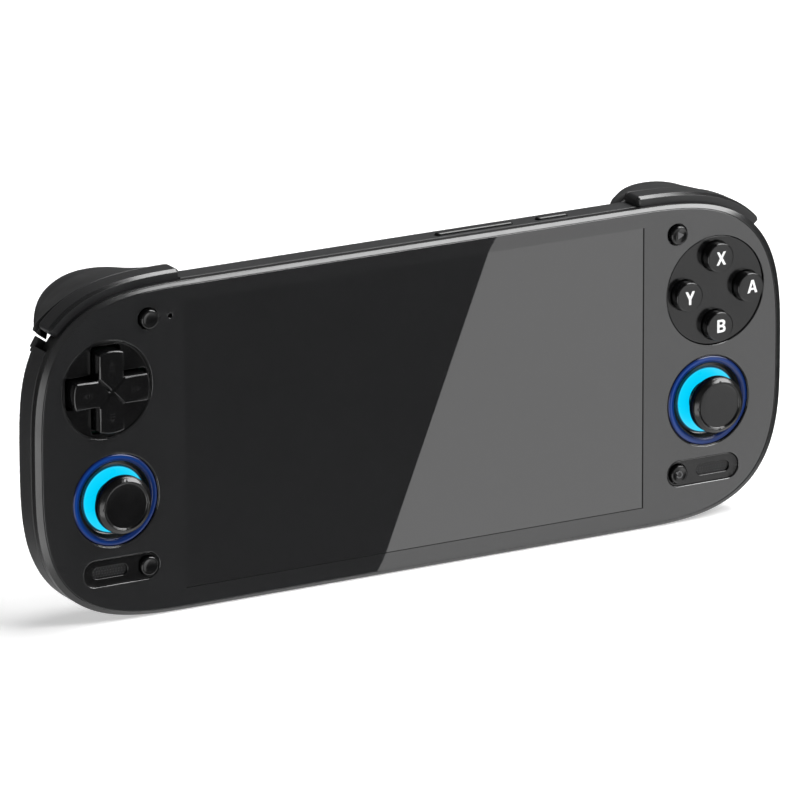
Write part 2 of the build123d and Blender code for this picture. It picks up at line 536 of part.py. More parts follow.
def lobe_loft(hollow):
    wires = []
    for x, dn, crest, drop in LOBE:
        o, i = sec(x, dn, crest, drop)
        if hollow:
            wires.append(Wire([Edge.make_spline(o), Edge.make_line(o[-1], i[0]), Edge.make_spline(i), Edge.make_line(i[-1], o[0])]))
        else:
            wires.append(Wire([Edge.make_spline(o), Edge.make_line(o[-1], i[0]), Edge.make_line(i[0], i[-1]), Edge.make_line(i[-1], o[0])]))
    return Solid.make_loft(wires, False)


trig = lobe_loft(True)
arm = (Pos(72.6, TRIG_PIN_Y, -TRIG_PIN_D) * (Rot(0, 90, 0) * Cylinder(1.7, 2.4))
       + box(71.4, 73.8, TRIG_PIN_Y, 43.2, TRIG_PIN_D - 1.6, TRIG_PIN_D + 1.3))
arm2 = (Pos(77.4, TRIG_PIN_Y, -TRIG_PIN_D) * (Rot(0, 90, 0) * Cylinder(1.7, 2.4))
        + box(76.2, 78.6, TRIG_PIN_Y, 42.6, TRIG_PIN_D - 1.6, TRIG_PIN_D + 1.3))
trig = trig + [arm, arm2]
trig = trig - (Pos(75.0, TRIG_PIN_Y, -TRIG_PIN_D) * (Rot(0, 90, 0) * Cylinder(0.84, 10)))
put("r2_trigger", trig)
put("l2_trigger", mir(solid_only(trig)))
tpin = Pos(75.0, TRIG_PIN_Y, -TRIG_PIN_D) * (Rot(0, 90, 0) * Cylinder(0.8, 13.6))
put("trigger_pins", Compound(children=[solid_only(tpin), mir(solid_only(tpin))]))

# torsion springs round the trigger pins, drawn as short coils between the arms
coil_wire = Wire([Edge.make_helix(0.42, 1.7, 1.15)])
coil = sweep(Pos(1.15, 0, 0) * (Rot(90, 0, 0) * Circle(0.16)), path=coil_wire)
coil = Pos(74.1, TRIG_PIN_Y, -TRIG_PIN_D) * (Rot(0, 90, 0) * coil)
put("trigger_springs", Compound(children=[solid_only(coil), mir(solid_only(coil))]))

# ---------------------------------------------------------------------------
# inside the middle
# ---------------------------------------------------------------------------
bx0, bx1, by0, by1, bd0, bd1 = BAT
bat = box(bx0, bx1, by0, by1, bd0, bd1)
bat = bat.fillet(1.2, bat.edges().filter_by(Axis.Z))
put("battery", bat)

mb = box(-56, 57, 11, 36, 4.6, 5.6) + box(22.5, 57, -33, 12, 4.6, 5.6)
mb = mb + box(-27, -11, 16, 32, 5.5, 6.6) + box(-48, -34, 17, 29, 5.5, 6.6) + box(30, 44, -22, -10, 5.5, 6.6) + box(26, 50, -3, 2, 5.5, 7.0)
mb = mb - box(JACK_X - 3.6, JACK_X + 3.6, -40, -27, 4, 6)
put("main_board", mb)

hs = box(-34, -8, 12, 34, 6.7, 7.7) + box(-10, 16, 12, 34, 6.7, 7.7)
for i in range(11):
    y = 12.4 + i * 2.1
    hs = hs + box(-8, 16, y, y + 0.5, 7.6, 11.6)
put("heatsink", hs)

fx, fy = FAN_C
fh = box(fx - 15, fx + 15, fy - 14.5, fy + 14.5, FAN_D0, FAN_D1)
fh = fh - cyl(fx, fy, FAN_R, FAN_D0 + 0.7, FAN_D1 - 0.7) - cyl(fx, fy, 10.5, FAN_D0 + 0.7, FAN_D1 + 1)
fh = fh - box(fx - 16, fx - 4, fy - 12.4, fy + 6, FAN_D0 + 0.7, FAN_D1 - 0.7)
fh = fh + cyl(fx, fy, 0.8, FAN_D0 + 0.5, FAN_D1 - 1.0)
put("fan_housing", fh)
imp = cyl(fx, fy, 5.2, FAN_D0 + 1.1, FAN_D1 - 0.9)
for i in range(13):
    a = 360 / 13 * i
    imp = imp + Pos(fx, fy, 0) * (Rot(0, 0, a) * (Pos(8.4, 0.9, -(FAN_D0 + 2.7)) * (Rot(0, 0, 24) * Box(7.4, 0.5, 2.8))))
imp = imp + ring(fx, fy, 12.2, 4.0, FAN_D0 + 1.1, FAN_D0 + 1.5)
imp = imp - cyl(fx, fy, 0.85, FAN_D0, FAN_D1)
put("fan_impeller", imp)

pb = box(-44, 44, -40.1, -34.4, 4.0, 4.9)
put("port_board", pb)
usb = Pos(0, -38.6, -USB_D) * (Rot(90, 0, 0) * extrude(SlotOverall(8.94, 3.26), 3.7, both=True))
usb = usb - (Pos(0, -39.4, -USB_D) * (Rot(90, 0, 0) * extrude(SlotOverall(8.34, 2.56), 3.7, both=True)))
usb = usb + (Pos(0, -38.0, -USB_D) * Box(6.69, 5.6, 0.7))
put("usb_port", usb)
jack = box(JACK_X - 3.1, JACK_X + 3.1, -40.4, -27.5, 5.0, 9.4)
jack = jack + Pos(JACK_X, -41.35, -USB_D) * (Rot(90, 0, 0) * Cylinder(2.85, 2.3)) & box(JACK_X - 4, JACK_X + 4, -42.5, -27, 3.8, 9.6)
jack = jack - (Pos(JACK_X, -42.5 + 6.9, -USB_D) * (Rot(90, 0, 0) * Cylinder(JACK_R, 13.8)))
put("audio_jack", jack)

scr = []
for sx, sy in SCREWS:
    s = cyl(sx, sy, 2.0, BODY_T - 1.0, BODY_T + 0.0) + cyl(sx, sy, 1.0, 6.0, BODY_T - 0.5)
    s = s - (Pos(sx, sy, -BODY_T) * Box(2.6, 0.5, 0.9)) - (Pos(sx, sy, -BODY_T) * Box(0.5, 2.6, 0.9))
    scr.append(solid_only(s))
put("cover_screws", Compound(children=scr))
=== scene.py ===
import json
import math

import bpy
import numpy as np
from mathutils import Matrix, Vector, geometry

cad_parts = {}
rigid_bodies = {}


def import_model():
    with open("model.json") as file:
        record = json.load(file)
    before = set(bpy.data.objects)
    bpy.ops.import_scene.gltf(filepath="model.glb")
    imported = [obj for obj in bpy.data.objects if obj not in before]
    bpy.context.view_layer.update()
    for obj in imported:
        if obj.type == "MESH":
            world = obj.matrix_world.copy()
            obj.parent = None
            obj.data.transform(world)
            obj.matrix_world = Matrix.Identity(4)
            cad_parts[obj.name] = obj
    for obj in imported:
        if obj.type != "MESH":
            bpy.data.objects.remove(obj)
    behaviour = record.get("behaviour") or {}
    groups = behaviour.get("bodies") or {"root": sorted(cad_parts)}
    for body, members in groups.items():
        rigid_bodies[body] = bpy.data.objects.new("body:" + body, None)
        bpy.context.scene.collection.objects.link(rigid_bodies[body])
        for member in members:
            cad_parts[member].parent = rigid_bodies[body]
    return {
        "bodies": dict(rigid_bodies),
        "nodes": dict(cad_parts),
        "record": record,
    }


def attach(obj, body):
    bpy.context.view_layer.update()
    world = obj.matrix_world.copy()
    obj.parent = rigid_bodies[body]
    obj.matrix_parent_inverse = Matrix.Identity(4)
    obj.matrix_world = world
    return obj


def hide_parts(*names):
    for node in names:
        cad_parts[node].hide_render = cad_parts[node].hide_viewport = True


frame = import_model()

NODES, RECORD = frame["nodes"], frame["record"]
keep = {o.name for o in NODES.values()} | {o.name for o in frame["bodies"].values()}
for o in [o for o in bpy.data.objects if o.name not in keep]:
    bpy.data.objects.remove(o)
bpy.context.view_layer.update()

# ---------------------------------------------------------------------------
# Sizes, in millimetres, in the plane of the cover glass: x right, y up the
# screen, z out of the screen, zero at the front of the glass.
# ---------------------------------------------------------------------------
YG, ZC = -10.6, 42.5
FLAT_X, END_N, END_A, END_B = 62.0, 3.25, 45.4, 42.5
GLASS_IN = (1.75, 1.05)
TRIM_IN = (1.66, 0.97)
DPAD_C, DPAD_R = (-87.6, 17.8), 12.6
ABXY_C, ABXY_R, ABXY_P = (87.4, 18.1), 14.4, 9.1
STICK_C, STICK_R = (85.5, -11.0), 12.1
KEY_C = (76.0, 34.4)
PILL_C, PILL_L, PILL_W = (84.1, -29.3), 21.3, 6.9
PILL_KEY_X, GRILLE_X, GRILLE_L, GRILLE_W = 76.6, 87.2, 9.8, 2.9
SCREEN = (66.1, 37.2)
SCREEN_AT = (0.1, 0.3)


def to_row(v):
    """Glass-plane millimetres to row-frame metres."""
    v = np.asarray(v, float).reshape(-1, 3)
    return np.stack([v[:, 0], YG - v[:, 2], ZC + v[:, 1]], 1) / 1000.0


def top_frame(v):
    """(along x, depth, height) to the glass plane, for what sits on the top wall."""
    v = np.asarray(v, float).reshape(-1, 3)
    return np.stack([v[:, 0], v[:, 2], -v[:, 1]], 1)


# ---------------------------------------------------------------------------
# Loops.  Each is a function of an offset o, in millimetres, and always gives
# the same number of points, counter-clockwise seen from the front.
# ---------------------------------------------------------------------------
def arc_length_t(n):
    """Parameters of a quarter of the rounded end, evenly spaced along it."""
    t = np.linspace(0, 1, 4001) ** 1.6 * math.pi / 4
    t = np.concatenate([t, (math.pi / 2 - t[::-1])[1:]])
    p = 2 / END_N
    x, y = END_A * np.cos(t) ** p, END_B * np.abs(np.sin(t)) ** p
    s = np.concatenate([[0], np.cumsum(np.hypot(np.diff(x), np.diff(y)))])
    return np.interp(np.linspace(0, s[-1], n + 1), s, t)


QUARTER = arc_length_t(56)
QUARTER[0], QUARTER[-1] = 0.0, math.pi / 2


def outline(ia, ib):
    p = 2 / END_N
    a, b = END_A - ia, END_B - ib
    x = FLAT_X + a * np.cos(QUARTER) ** p
    y = b * np.sin(QUARTER) ** p
    x[-1], y[0] = FLAT_X, 0.0
    q1 = list(zip(x, y))                              # right end, upwards
    q2 = [(-u, v) for u, v in reversed(q1)]           # left end, downwards
    q3 = [(-u, -v) for u, v in q1[1:]]
    q4 = [(u, -v) for u, v in reversed(q1[1:])]
    return q1 + q2 + q3 + q4


def circle(cx, cy, r, n=96):
    def f(o):
        return [(cx + (r + o) * math.cos(2 * math.pi * i / n), cy + (r + o) * math.sin(2 * math.pi * i / n)) for i in range(n)]
    return f


def stadium(cx, cy, length, width, n=28):
    def f(o):
        r, h = width / 2 + o, (length - width) / 2
        pts = [(cx + h + r * math.cos(a), cy + r * math.sin(a)) for a in np.linspace(-math.pi / 2, math.pi / 2, n)]
        pts += [(cx - h - r * math.cos(a), cy - r * math.sin(a)) for a in np.linspace(-math.pi / 2, math.pi / 2, n)]
        return pts
    return f


def cross(cx, cy, half_w, half_l, r_out, r_in, bulge=0.0, n=9):
    """Plus-shaped loop with rounded corners and slightly bowed ends."""
    def f(o):
        w, l, ro, ri = half_w + o, half_l + o - bulge, max(0.04, r_out + o), max(0.04, r_in - o)
        arm = []
        for a in np.linspace(0, math.pi / 2, n):       # inner corner below the right arm's end
            arm.append((w + ri - ri * math.sin(a), -(w + ri) + ri * math.cos(a)))
        arm = arm[::-1]
        arm = [(w + ri - ri * math.sin(a), -w - ri + ri * math.cos(a)) for a in np.linspace(math.pi / 2, 0, n)]
        for a in np.linspace(-math.pi / 2, 0, n):
            arm.append((l - ro + ro * math.cos(a), -w + ro + ro * math.sin(a)))
        for s in np.linspace(-1, 1, 7)[1:-1]:
            arm.append((l, s * (w - ro)))
        for a in np.linspace(0, math.pi / 2, n):
            arm.append((l - ro + ro * math.cos(a), w - ro + ro * math.sin(a)))
        arm = [(x + (bulge * (1 - (y / w) ** 2) if x > l - ro else 0.0), y) for x, y in arm]
        pts = []
        for k in range(4):
            c, s = [(1, 0), (0, 1), (-1, 0), (0, -1)][k]
            pts += [(cx + c * x - s * y, cy + s * x + c * y) for x, y in arm]
        return pts
    return f


def rounded(o0, z0, o1, z1, n=5, convex=True):
    """Quarter-round from (o0, z0) to (o1, z1), leaving the first level and arriving upright."""
    out = []
    for i in range(n + 1):
        a = math.pi / 2 * i / n
        if convex:
            out.append((o0 + (o1 - o0) * math.sin(a), z1 + (z0 - z1) * math.cos(a)))
        else:
            out.append((o1 + (o0 - o1) * math.cos(a), z0 + (z1 - z0) * math.sin(a)))
    return out


# ---------------------------------------------------------------------------
# Mesh building
# ---------------------------------------------------------------------------
def inside(px, py, poly):
    poly = np.asarray(poly, float)
    x0, y0 = poly[:, 0], poly[:, 1]
    x1, y1 = np.roll(x0, -1), np.roll(y0, -1)
    hit = ((y0 > py[:, None]) != (y1 > py[:, None])) & (px[:, None] < (x1 - x0) * (py[:, None] - y0) / (y1 - y0 + 1e-30) + x0)
    return hit.sum(1) % 2 == 1


def fill(outer, holes, extra=()):
    """Triangles of the area inside outer and outside holes.  extra holds open lines that become edges."""
    verts, edges = [], []
    for loop in [outer] + list(holes):
        b = len(verts)
        verts += [Vector(p) for p in loop]
        edges += [(b + i, b + (i + 1) % len(loop)) for i in range(len(loop))]
    for line in extra:
        b = len(verts)
        verts += [Vector(p) for p in line]
        edges += [(b + i, b + i + 1) for i in range(len(line) - 1)]
    vs, _, fs, *_ = geometry.delaunay_2d_cdt(verts, edges, [], 0, 1e-5)
    vs = np.array([tuple(v) for v in vs])
    fs = np.array([tuple(f) for f in fs])
    mid = vs[fs].mean(1)
    ok = inside(mid[:, 0], mid[:, 1], outer)
    for h in holes:
        ok &= ~inside(mid[:, 0], mid[:, 1], h)
    fs = fs[ok]
    a, b, c = vs[fs[:, 0]], vs[fs[:, 1]], vs[fs[:, 2]]
    area = (b[:, 0] - a[:, 0]) * (c[:, 1] - a[:, 1]) - (b[:, 1] - a[:, 1]) * (c[:, 0] - a[:, 0])
    fs[area < 0] = fs[area < 0][:, ::-1]
    return vs, fs[np.abs(area) > 1e-9]


class Build:
    """Collects vertices and faces in glass-plane millimetres."""

    def __init__(self):
        self.v, self.f, self.m = [], [], []

    def add(self, verts, faces, mat=0):
        b = len(self.v)
        self.v += [tuple(map(float, p)) for p in verts]
        for k, f in enumerate(faces):
            self.f.append(tuple(int(i) + b for i in f))
            self.m.append(int(mat[k]) if hasattr(mat, "__len__") else mat)

    def rings(self, rings, closed=False, mat=0, flip=False):
        """Quads between successive rings of equal length."""
        n = len(rings[0])
        b = len(self.v)
        for r in rings:
            self.v += [tuple(map(float, p)) for p in r]
        last = len(rings) if closed else len(rings) - 1
        for k in range(last):
            for i in range(n):
                j, k1 = (i + 1) % n, (k + 1) % len(rings)
                q = (b + k * n + i, b + k1 * n + i, b + k1 * n + j, b + k * n + j)
                self.f.append(q[::-1] if flip else q)
                self.m.append(mat[k] if hasattr(mat, "__len__") else mat)

    def plate(self, outer, holes=(), mat=0, height=None, extra=(), zone=None, bottom=True):
        """A flat piece.  outer and each hole are (loop function, profile), the profile running from the top
        face over the edge to the bottom face as (offset into the material, z)."""
        h = height or (lambda x, y, z: z)
        for k, (fn, prof) in enumerate([outer] + list(holes)):
            s = -1 if k == 0 else 1
            self.rings([[(x, y, h(x, y, z)) for x, y in fn(s * o)] for o, z in prof], mat=mat, flip=k > 0)
        for end in (0, -1):
            if end == -1 and not bottom:
                continue
            o0, z0 = outer[1][end]
            vs, fs = fill(outer[0](-o0), [fn(p[end][0]) for fn, p in holes], extra if end == 0 else ())
            if end == -1:
                fs = fs[:, ::-1]
            mats = mat
            if zone and end == 0:
                c = vs[fs].mean(1)
                mats = [zone(x, y) for x, y in c]
            zs = [h(x, y, z0) if end == 0 else z0 for x, y in vs]
            self.add([(x, y, z) for (x, y), z in zip(vs, zs)], fs, mats)

    def lathe(self, cx, cy, prof, n=128, mat=0, warp=None):
        """Turned piece.  prof runs from the axis on top, outwards and down, as (r, z); a profile that never
        meets the axis is closed on itself."""
        rings, solid = [], prof[0][0] == 0
        use = [p for p in prof if p[0] > 0]
        for r, z in use:
            ring = []
            for i in range(n):
                a = 2 * math.pi * i / n
                rr, zz = warp(r, z, a) if warp else (r, z)
                ring.append((cx + rr * math.cos(a), cy + rr * math.sin(a), zz))
            rings.append(ring)
        b = len(self.v)
        self.rings(rings, closed=not solid, mat=mat)
        if solid:
            for z, first in ((prof[0][1], True), (prof[-1][1], False)):
                c = len(self.v)
                self.v.append((cx, cy, z))
                base = b if first else b + (len(use) - 1) * n
                for i in range(n):
                    j = (i + 1) % n
                    self.f.append((c, base + i, base + j) if first else (c, base + j, base + i))
                    self.m.append(mat)

    def prism(self, pts, z0, z1, mat=0, holes=(), bevel=0.0):
        """Straight-sided outline from z0 up to z1; pts is counter-clockwise."""
        vs, fs = fill(pts, holes)
        self.add([(x, y, z1) for x, y in vs], fs, mat)
        self.add([(x, y, z0) for x, y in vs], fs[:, ::-1], mat)
        for k, loop in enumerate([pts] + list(holes)):
            self.rings([[(x, y, z1) for x, y in loop], [(x, y, z0) for x, y in loop]], mat=mat, flip=k > 0)

    def place(self, name, mats, body, nodes=(), slot=None, frame_fn=None, angle=32, weld=2e-7, weighted=True):
        v = np.array(self.v)
        if frame_fn:
            v = frame_fn(v)
        v = to_row(v)
        me = bpy.data.meshes.new(name)
        me.from_pydata([tuple(p) for p in v], [], self.f)
        me.polygons.foreach_set("material_index", self.m)
        for m in mats:
            me.materials.append(m)
        me.validate()
        import bmesh
        bm = bmesh.new()
        bm.from_mesh(me)
        bmesh.ops.remove_doubles(bm, verts=bm.verts, dist=weld)
        bmesh.ops.dissolve_degenerate(bm, edges=bm.edges, dist=1e-8)
        bmesh.ops.recalc_face_normals(bm, faces=bm.faces)
        bm.to_mesh(me)
        bm.free()
        me.polygons.foreach_set("use_smooth", [True] * len(me.polygons))
        me.set_sharp_from_angle(angle=math.radians(angle))
        ob = bpy.data.objects.new(name, me)
        bpy.context.scene.collection.objects.link(ob)
        if weighted:
            w = ob.modifiers.new("normals", "WEIGHTED_NORMAL")
            w.keep_sharp, w.weight, w.mode = True, 50, "FACE_AREA"
        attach(ob, body)
        if nodes:
            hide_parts(*nodes)
        return ob


# ---------------------------------------------------------------------------
# Materials
# ---------------------------------------------------------------------------
def material(name, color, rough, metallic=0.0, ior_level=0.5, ior=1.5, coat=0.0, coat_rough=0.1, grain=0.0, grain_scale=2600.0,
             vary=0.12, vary_scale=70.0, rough_vary=0.05, rough_scale=180.0, brushed=None, emission=None, strength=0.0):
    """Principled material whose colour and roughness drift a little and whose surface has a fine grain."""
    m = bpy.data.materials.new(name)
    m.use_nodes = True
    nt = m.node_tree
    p = nt.nodes["Principled BSDF"]
    p.inputs["Metallic"].default_value = metallic
    p.inputs["Specular IOR Level"].default_value = ior_level
    p.inputs["IOR"].default_value = ior
    p.inputs["Coat Weight"].default_value = coat
    p.inputs["Coat Roughness"].default_value = coat_rough
    tc = nt.nodes.new("ShaderNodeTexCoord")
    mp = nt.nodes.new("ShaderNodeMapping")
    if brushed:
        mp.inputs["Scale"].default_value = brushed
    nt.links.new(tc.outputs["Object"], mp.inputs["Vector"])
    n1 = nt.nodes.new("ShaderNodeTexNoise")
    n1.inputs["Scale"].default_value = vary_scale
    n1.inputs["Detail"].default_value = 4.0
    nt.links.new(mp.outputs[0], n1.inputs["Vector"])
    ramp = nt.nodes.new("ShaderNodeValToRGB")
    lo = [max(0.0, c * (1 - vary)) for c in color] + [1]
    hi = [min(1.0, c * (1 + vary)) for c in color] + [1]
    ramp.color_ramp.elements[0].position, ramp.color_ramp.elements[0].color = 0.3, lo
    ramp.color_ramp.elements[1].position, ramp.color_ramp.elements[1].color = 0.7, hi
    nt.links.new(n1.outputs["Fac"], ramp.inputs["Fac"])
    nt.links.new(ramp.outputs["Color"], p.inputs["Base Color"])
    n2 = nt.nodes.new("ShaderNodeTexNoise")
    n2.inputs["Scale"].default_value = rough_scale
    n2.inputs["Detail"].default_value = 3.0
    nt.links.new(mp.outputs[0], n2.inputs["Vector"])
    mr = nt.nodes.new("ShaderNodeMapRange")
    mr.inputs["From Min"].default_value, mr.inputs["From Max"].default_value = 0.3, 0.7
    mr.inputs["To Min"].default_value, mr.inputs["To Max"].default_value = max(0.0, rough - rough_vary), rough + rough_vary
    nt.links.new(n2.outputs["Fac"], mr.inputs["Value"])
    nt.links.new(mr.outputs["Result"], p.inputs["Roughness"])
    if grain:
        n3 = nt.nodes.new("ShaderNodeTexNoise")
        n3.inputs["Scale"].default_value = grain_scale
        n3.inputs["Detail"].default_value = 2.0
        nt.links.new(mp.outputs[0], n3.inputs["Vector"])
        b = nt.nodes.new("ShaderNodeBump")
        b.inputs["Strength"].default_value = grain
        b.inputs["Distance"].default_value = 0.00004
        nt.links.new(n3.outputs["Fac"], b.inputs["Height"])
        nt.links.new(b.outputs["Normal"], p.inputs["Normal"])
    if emission:
        p.inputs["Emission Color"].default_value = list(emission) + [1]
        p.inputs["Emission Strength"].default_value = strength
    return m


def radial_emission(m, centre, stops, strength, lit_side=None):
    """Emission that depends on the distance from a stick's axis, as in an edge-lit light guide; the stops can also
    paint highlight and shade across a round surface.
    The last argument, as (x, y, share), paints shade: it makes the emission fall to that share on the side away from
    the direction x, y, which points to the lights."""
    nt = m.node_tree
    p = nt.nodes["Principled BSDF"]
    tc = nt.nodes.new("ShaderNodeTexCoord")
    sub = nt.nodes.new("ShaderNodeVectorMath")
    sub.operation = "SUBTRACT"
    c = to_row([[centre[0], centre[1], 0]])[0]
    sub.inputs[1].default_value = (c[0], 0, c[2])
    nt.links.new(tc.outputs["Object"], sub.inputs[0])
    mul = nt.nodes.new("ShaderNodeVectorMath")
    mul.operation = "MULTIPLY"
    mul.inputs[1].default_value = (1000, 0, 1000)
    nt.links.new(sub.outputs[0], mul.inputs[0])
    ln = nt.nodes.new("ShaderNodeVectorMath")
    ln.operation = "LENGTH"
    nt.links.new(mul.outputs[0], ln.inputs[0])
    mr = nt.nodes.new("ShaderNodeMapRange")
    r0, r1 = stops[0][0], stops[-1][0]
    mr.inputs["From Min"].default_value, mr.inputs["From Max"].default_value = r0, r1
    nt.links.new(ln.outputs["Value"], mr.inputs["Value"])
    ramp = nt.nodes.new("ShaderNodeValToRGB")
    e = ramp.color_ramp.elements
    while len(e) < len(stops):
        e.new(0.5)
    for k, (r, col) in enumerate(stops):
        e[k].position = (r - r0) / (r1 - r0)
        e[k].color = list(col) + [1]
    nt.links.new(mr.outputs["Result"], ramp.inputs["Fac"])
    nt.links.new(ramp.outputs["Color"], p.inputs["Emission Color"])
    p.inputs["Emission Strength"].default_value = strength
    # painted shade: the emission is dimmed on the side turned away from the lights
    if lit_side:
        unit = nt.nodes.new("ShaderNodeVectorMath")
        unit.operation = "NORMALIZE"
        nt.links.new(mul.outputs[0], unit.inputs[0])
        dot = nt.nodes.new("ShaderNodeVectorMath")
        dot.operation = "DOT_PRODUCT"
        k = math.hypot(lit_side[0], lit_side[1])
        dot.inputs[1].default_value = (lit_side[0] / k, 0, lit_side[1] / k)
        nt.links.new(unit.outputs[0], dot.inputs[0])
        turn_ = nt.nodes.new("ShaderNodeMapRange")
        turn_.interpolation_type = "SMOOTHSTEP"
        turn_.inputs["From Min"].default_value, turn_.inputs["From Max"].default_value = -1.0, 0.9
        turn_.inputs["To Min"].default_value, turn_.inputs["To Max"].default_value = lit_side[2] * strength, strength
        nt.links.new(dot.outputs["Value"], turn_.inputs["Value"])
        nt.links.new(turn_.outputs["Result"], p.inputs["Emission Strength"])
    return m


M = {
    "cover_glass": material("cover_glass", (0.0134, 0.0136, 0.0141), 0.012, ior=1.79, vary=0.05, rough_vary=0.003, rough_scale=35),
    "screen": material("screen_glass", (0.0096, 0.0097, 0.0102), 0.012, ior=1.943, vary=0.04, rough_vary=0.003, rough_scale=35),
    # painted shadow: near-black strip along the right and bottom edges of the screen
    "screen_line": material("screen_shadow_line", (0.002, 0.002, 0.002), 0.35, ior_level=0.15, vary=0.05),
    "bevel_metal": material("bevel_metal", (0.010, 0.0101, 0.0104), 0.22, ior_level=0.62, vary=0.04, rough_vary=0.03, grain=0.05,
                            grain_scale=900, brushed=(1, 1, 1)),
    "frame_dark": material("frame_dark", (0.0060, 0.0061, 0.0065), 0.34, ior_level=0.36, vary=0.08, grain=0.06),
    "chassis": material("chassis_metal", (0.45, 0.46, 0.48), 0.42, metallic=1.0, grain=0.1, grain_scale=900),
    "shell_black": material("shell_black", (0.016, 0.0163, 0.0172), 0.48, vary=0.10, grain=0.30, grain_scale=3600),
    "well_black": material("well_black", (0.0026, 0.0026, 0.0028), 0.17, vary=0.08, grain=0.12),
    "key_black": material("key_black", (0.0028, 0.0028, 0.0030), 0.16, vary=0.08, rough_vary=0.03, grain=0.08),
    "shoulder_black": material("shoulder_black", (0.014, 0.0142, 0.015), 0.36, vary=0.08, grain=0.10),
    "shoulder_bevel": material("shoulder_bevel", (0.012, 0.0121, 0.0124), 0.22, ior_level=0.66, vary=0.04, rough_vary=0.03, grain=0.05, grain_scale=900),
    "cap_rubber": material("cap_rubber", (0.0024, 0.0024, 0.0026), 0.18, vary=0.10, grain=0.30, grain_scale=4200),
    "membrane_rubber": material("membrane_rubber", (0.32, 0.33, 0.34), 0.6, vary=0.06, grain=0.1),
    "steel": material("steel", (0.6, 0.6, 0.62), 0.32, metallic=1.0, grain=0.1, grain_scale=900),
    "circuit": material("circuit_board", (0.02, 0.12, 0.07), 0.38, vary=0.2, vary_scale=240),
    "copper": material("copper", (0.72, 0.42, 0.28), 0.35, metallic=1.0, grain=0.08, grain_scale=700),
    "battery_foil": material("battery_foil", (0.12, 0.12, 0.13), 0.4, metallic=0.6, grain=0.2, grain_scale=500),
    "inner_black": material("inner_black", (0.02, 0.02, 0.022), 0.55, vary=0.1, grain=0.1),
    "grille_metal": material("grille_metal", (0.004, 0.004, 0.0042), 0.34, vary=0.08),
    "grille_cloth": material("grille_cloth", (0.045, 0.045, 0.047), 0.7, vary=0.15, vary_scale=900, grain=0.3),
}
WHITE_INK = material("white_ink", (0.86, 0.86, 0.86), 0.45, vary=0.02)
FAINT_INK = material("faint_ink", (0.075, 0.075, 0.078), 0.45, vary=0.05)
TRACE_INK = material("trace_ink", (0.0055, 0.0055, 0.0058), 0.24, vary=0.05)
CYAN = material("light_cyan", (0.0, 0.05, 0.07), 0.25, vary=0.05, emission=(0.0, 0.66, 1.0), strength=1.0)

for n, ob in NODES.items():
    for s in ob.material_slots:
        key = s.material.name.split(".")[0] if s.material else ""
        if key == "light_cyan":
            s.material = CYAN
        elif key in M:
            s.material = M[key]

# ---------------------------------------------------------------------------
# Cover glass
# ---------------------------------------------------------------------------
def glass_edge(o):
    return outline(GLASS_IN[0] - o, GLASS_IN[1] - o)


sw, sh = SCREEN
g = Build()
hole_prof = rounded(0.22, 0.0, 0.0, -0.22, 5) + [(0.0, -0.8)]
small_prof = rounded(0.16, 0.0, 0.0, -0.16, 4) + [(0.0, -0.8)]
holes = [(circle(*DPAD_C, DPAD_R, 160), hole_prof), (circle(*ABXY_C, ABXY_R, 160), hole_prof)]
for s in (1, -1):
    holes.append((circle(s * STICK_C[0], STICK_C[1], STICK_R, 144), hole_prof))
    holes.append((circle(s * KEY_C[0], KEY_C[1], 2.85, 64), small_prof))
    holes.append((stadium(s * PILL_C[0], PILL_C[1], PILL_L, PILL_W), hole_prof))
holes.append((circle(-69.75, 34.2, 0.62, 32), rounded(0.14, 0.0, 0.0, -0.14, 4) + [(0.0, -0.8)]))
# The near-black strip along the right and bottom edges of the screen is painted shadow, where the display lies below
# the glass.
SHADOW_LINE_R, SHADOW_LINE_B = 0.40, 0.20
mx, my = SCREEN_AT
zones = [[(mx - sw, my - sh), (mx + sw, my - sh), (mx + sw, my + sh), (mx - sw, my + sh), (mx - sw, my - sh)],
         [(mx + sw - SHADOW_LINE_R, my + sh), (mx + sw - SHADOW_LINE_R, my - sh + SHADOW_LINE_B), (mx - sw, my - sh + SHADOW_LINE_B)]]


def glass_zone(x, y):
    if abs(x - mx) > sw or abs(y - my) > sh:
        return 0
    # zone 2 is the painted shadow strip
    return 2 if (x > mx + sw - SHADOW_LINE_R or y < my - sh + SHADOW_LINE_B) else 1


g.plate((glass_edge, rounded(0.12, 0.0, 0.0, -0.12, 4) + [(0.0, -0.8)]), holes, extra=zones, zone=glass_zone)
g.place("front_glass_piece", [M["cover_glass"], M["screen"], M["screen_line"]], "casing", ["front_glass"], "cover_glass")

# ---------------------------------------------------------------------------
# Edge trim: a bevelled ring round the glass
# ---------------------------------------------------------------------------
g = Build()
prof = [(0.0, -1.0), (0.0, -0.72), (0.012, -0.675), (0.045, -0.635), (0.30, -0.457), (0.60, -0.247), (0.87, -0.062), (0.905, -0.038), (0.945, -0.03),
        (0.985, -0.045), (1.0, -0.085), (1.0, -1.0)]
g.rings([[(x, y, z) for x, y in outline(TRIM_IN[0] * f, TRIM_IN[1] * f)] for f, z in prof], closed=True)
g.place("edge_trim_piece", [M["bevel_metal"]], "casing", ["edge_trim"], "bevel_metal", angle=50)

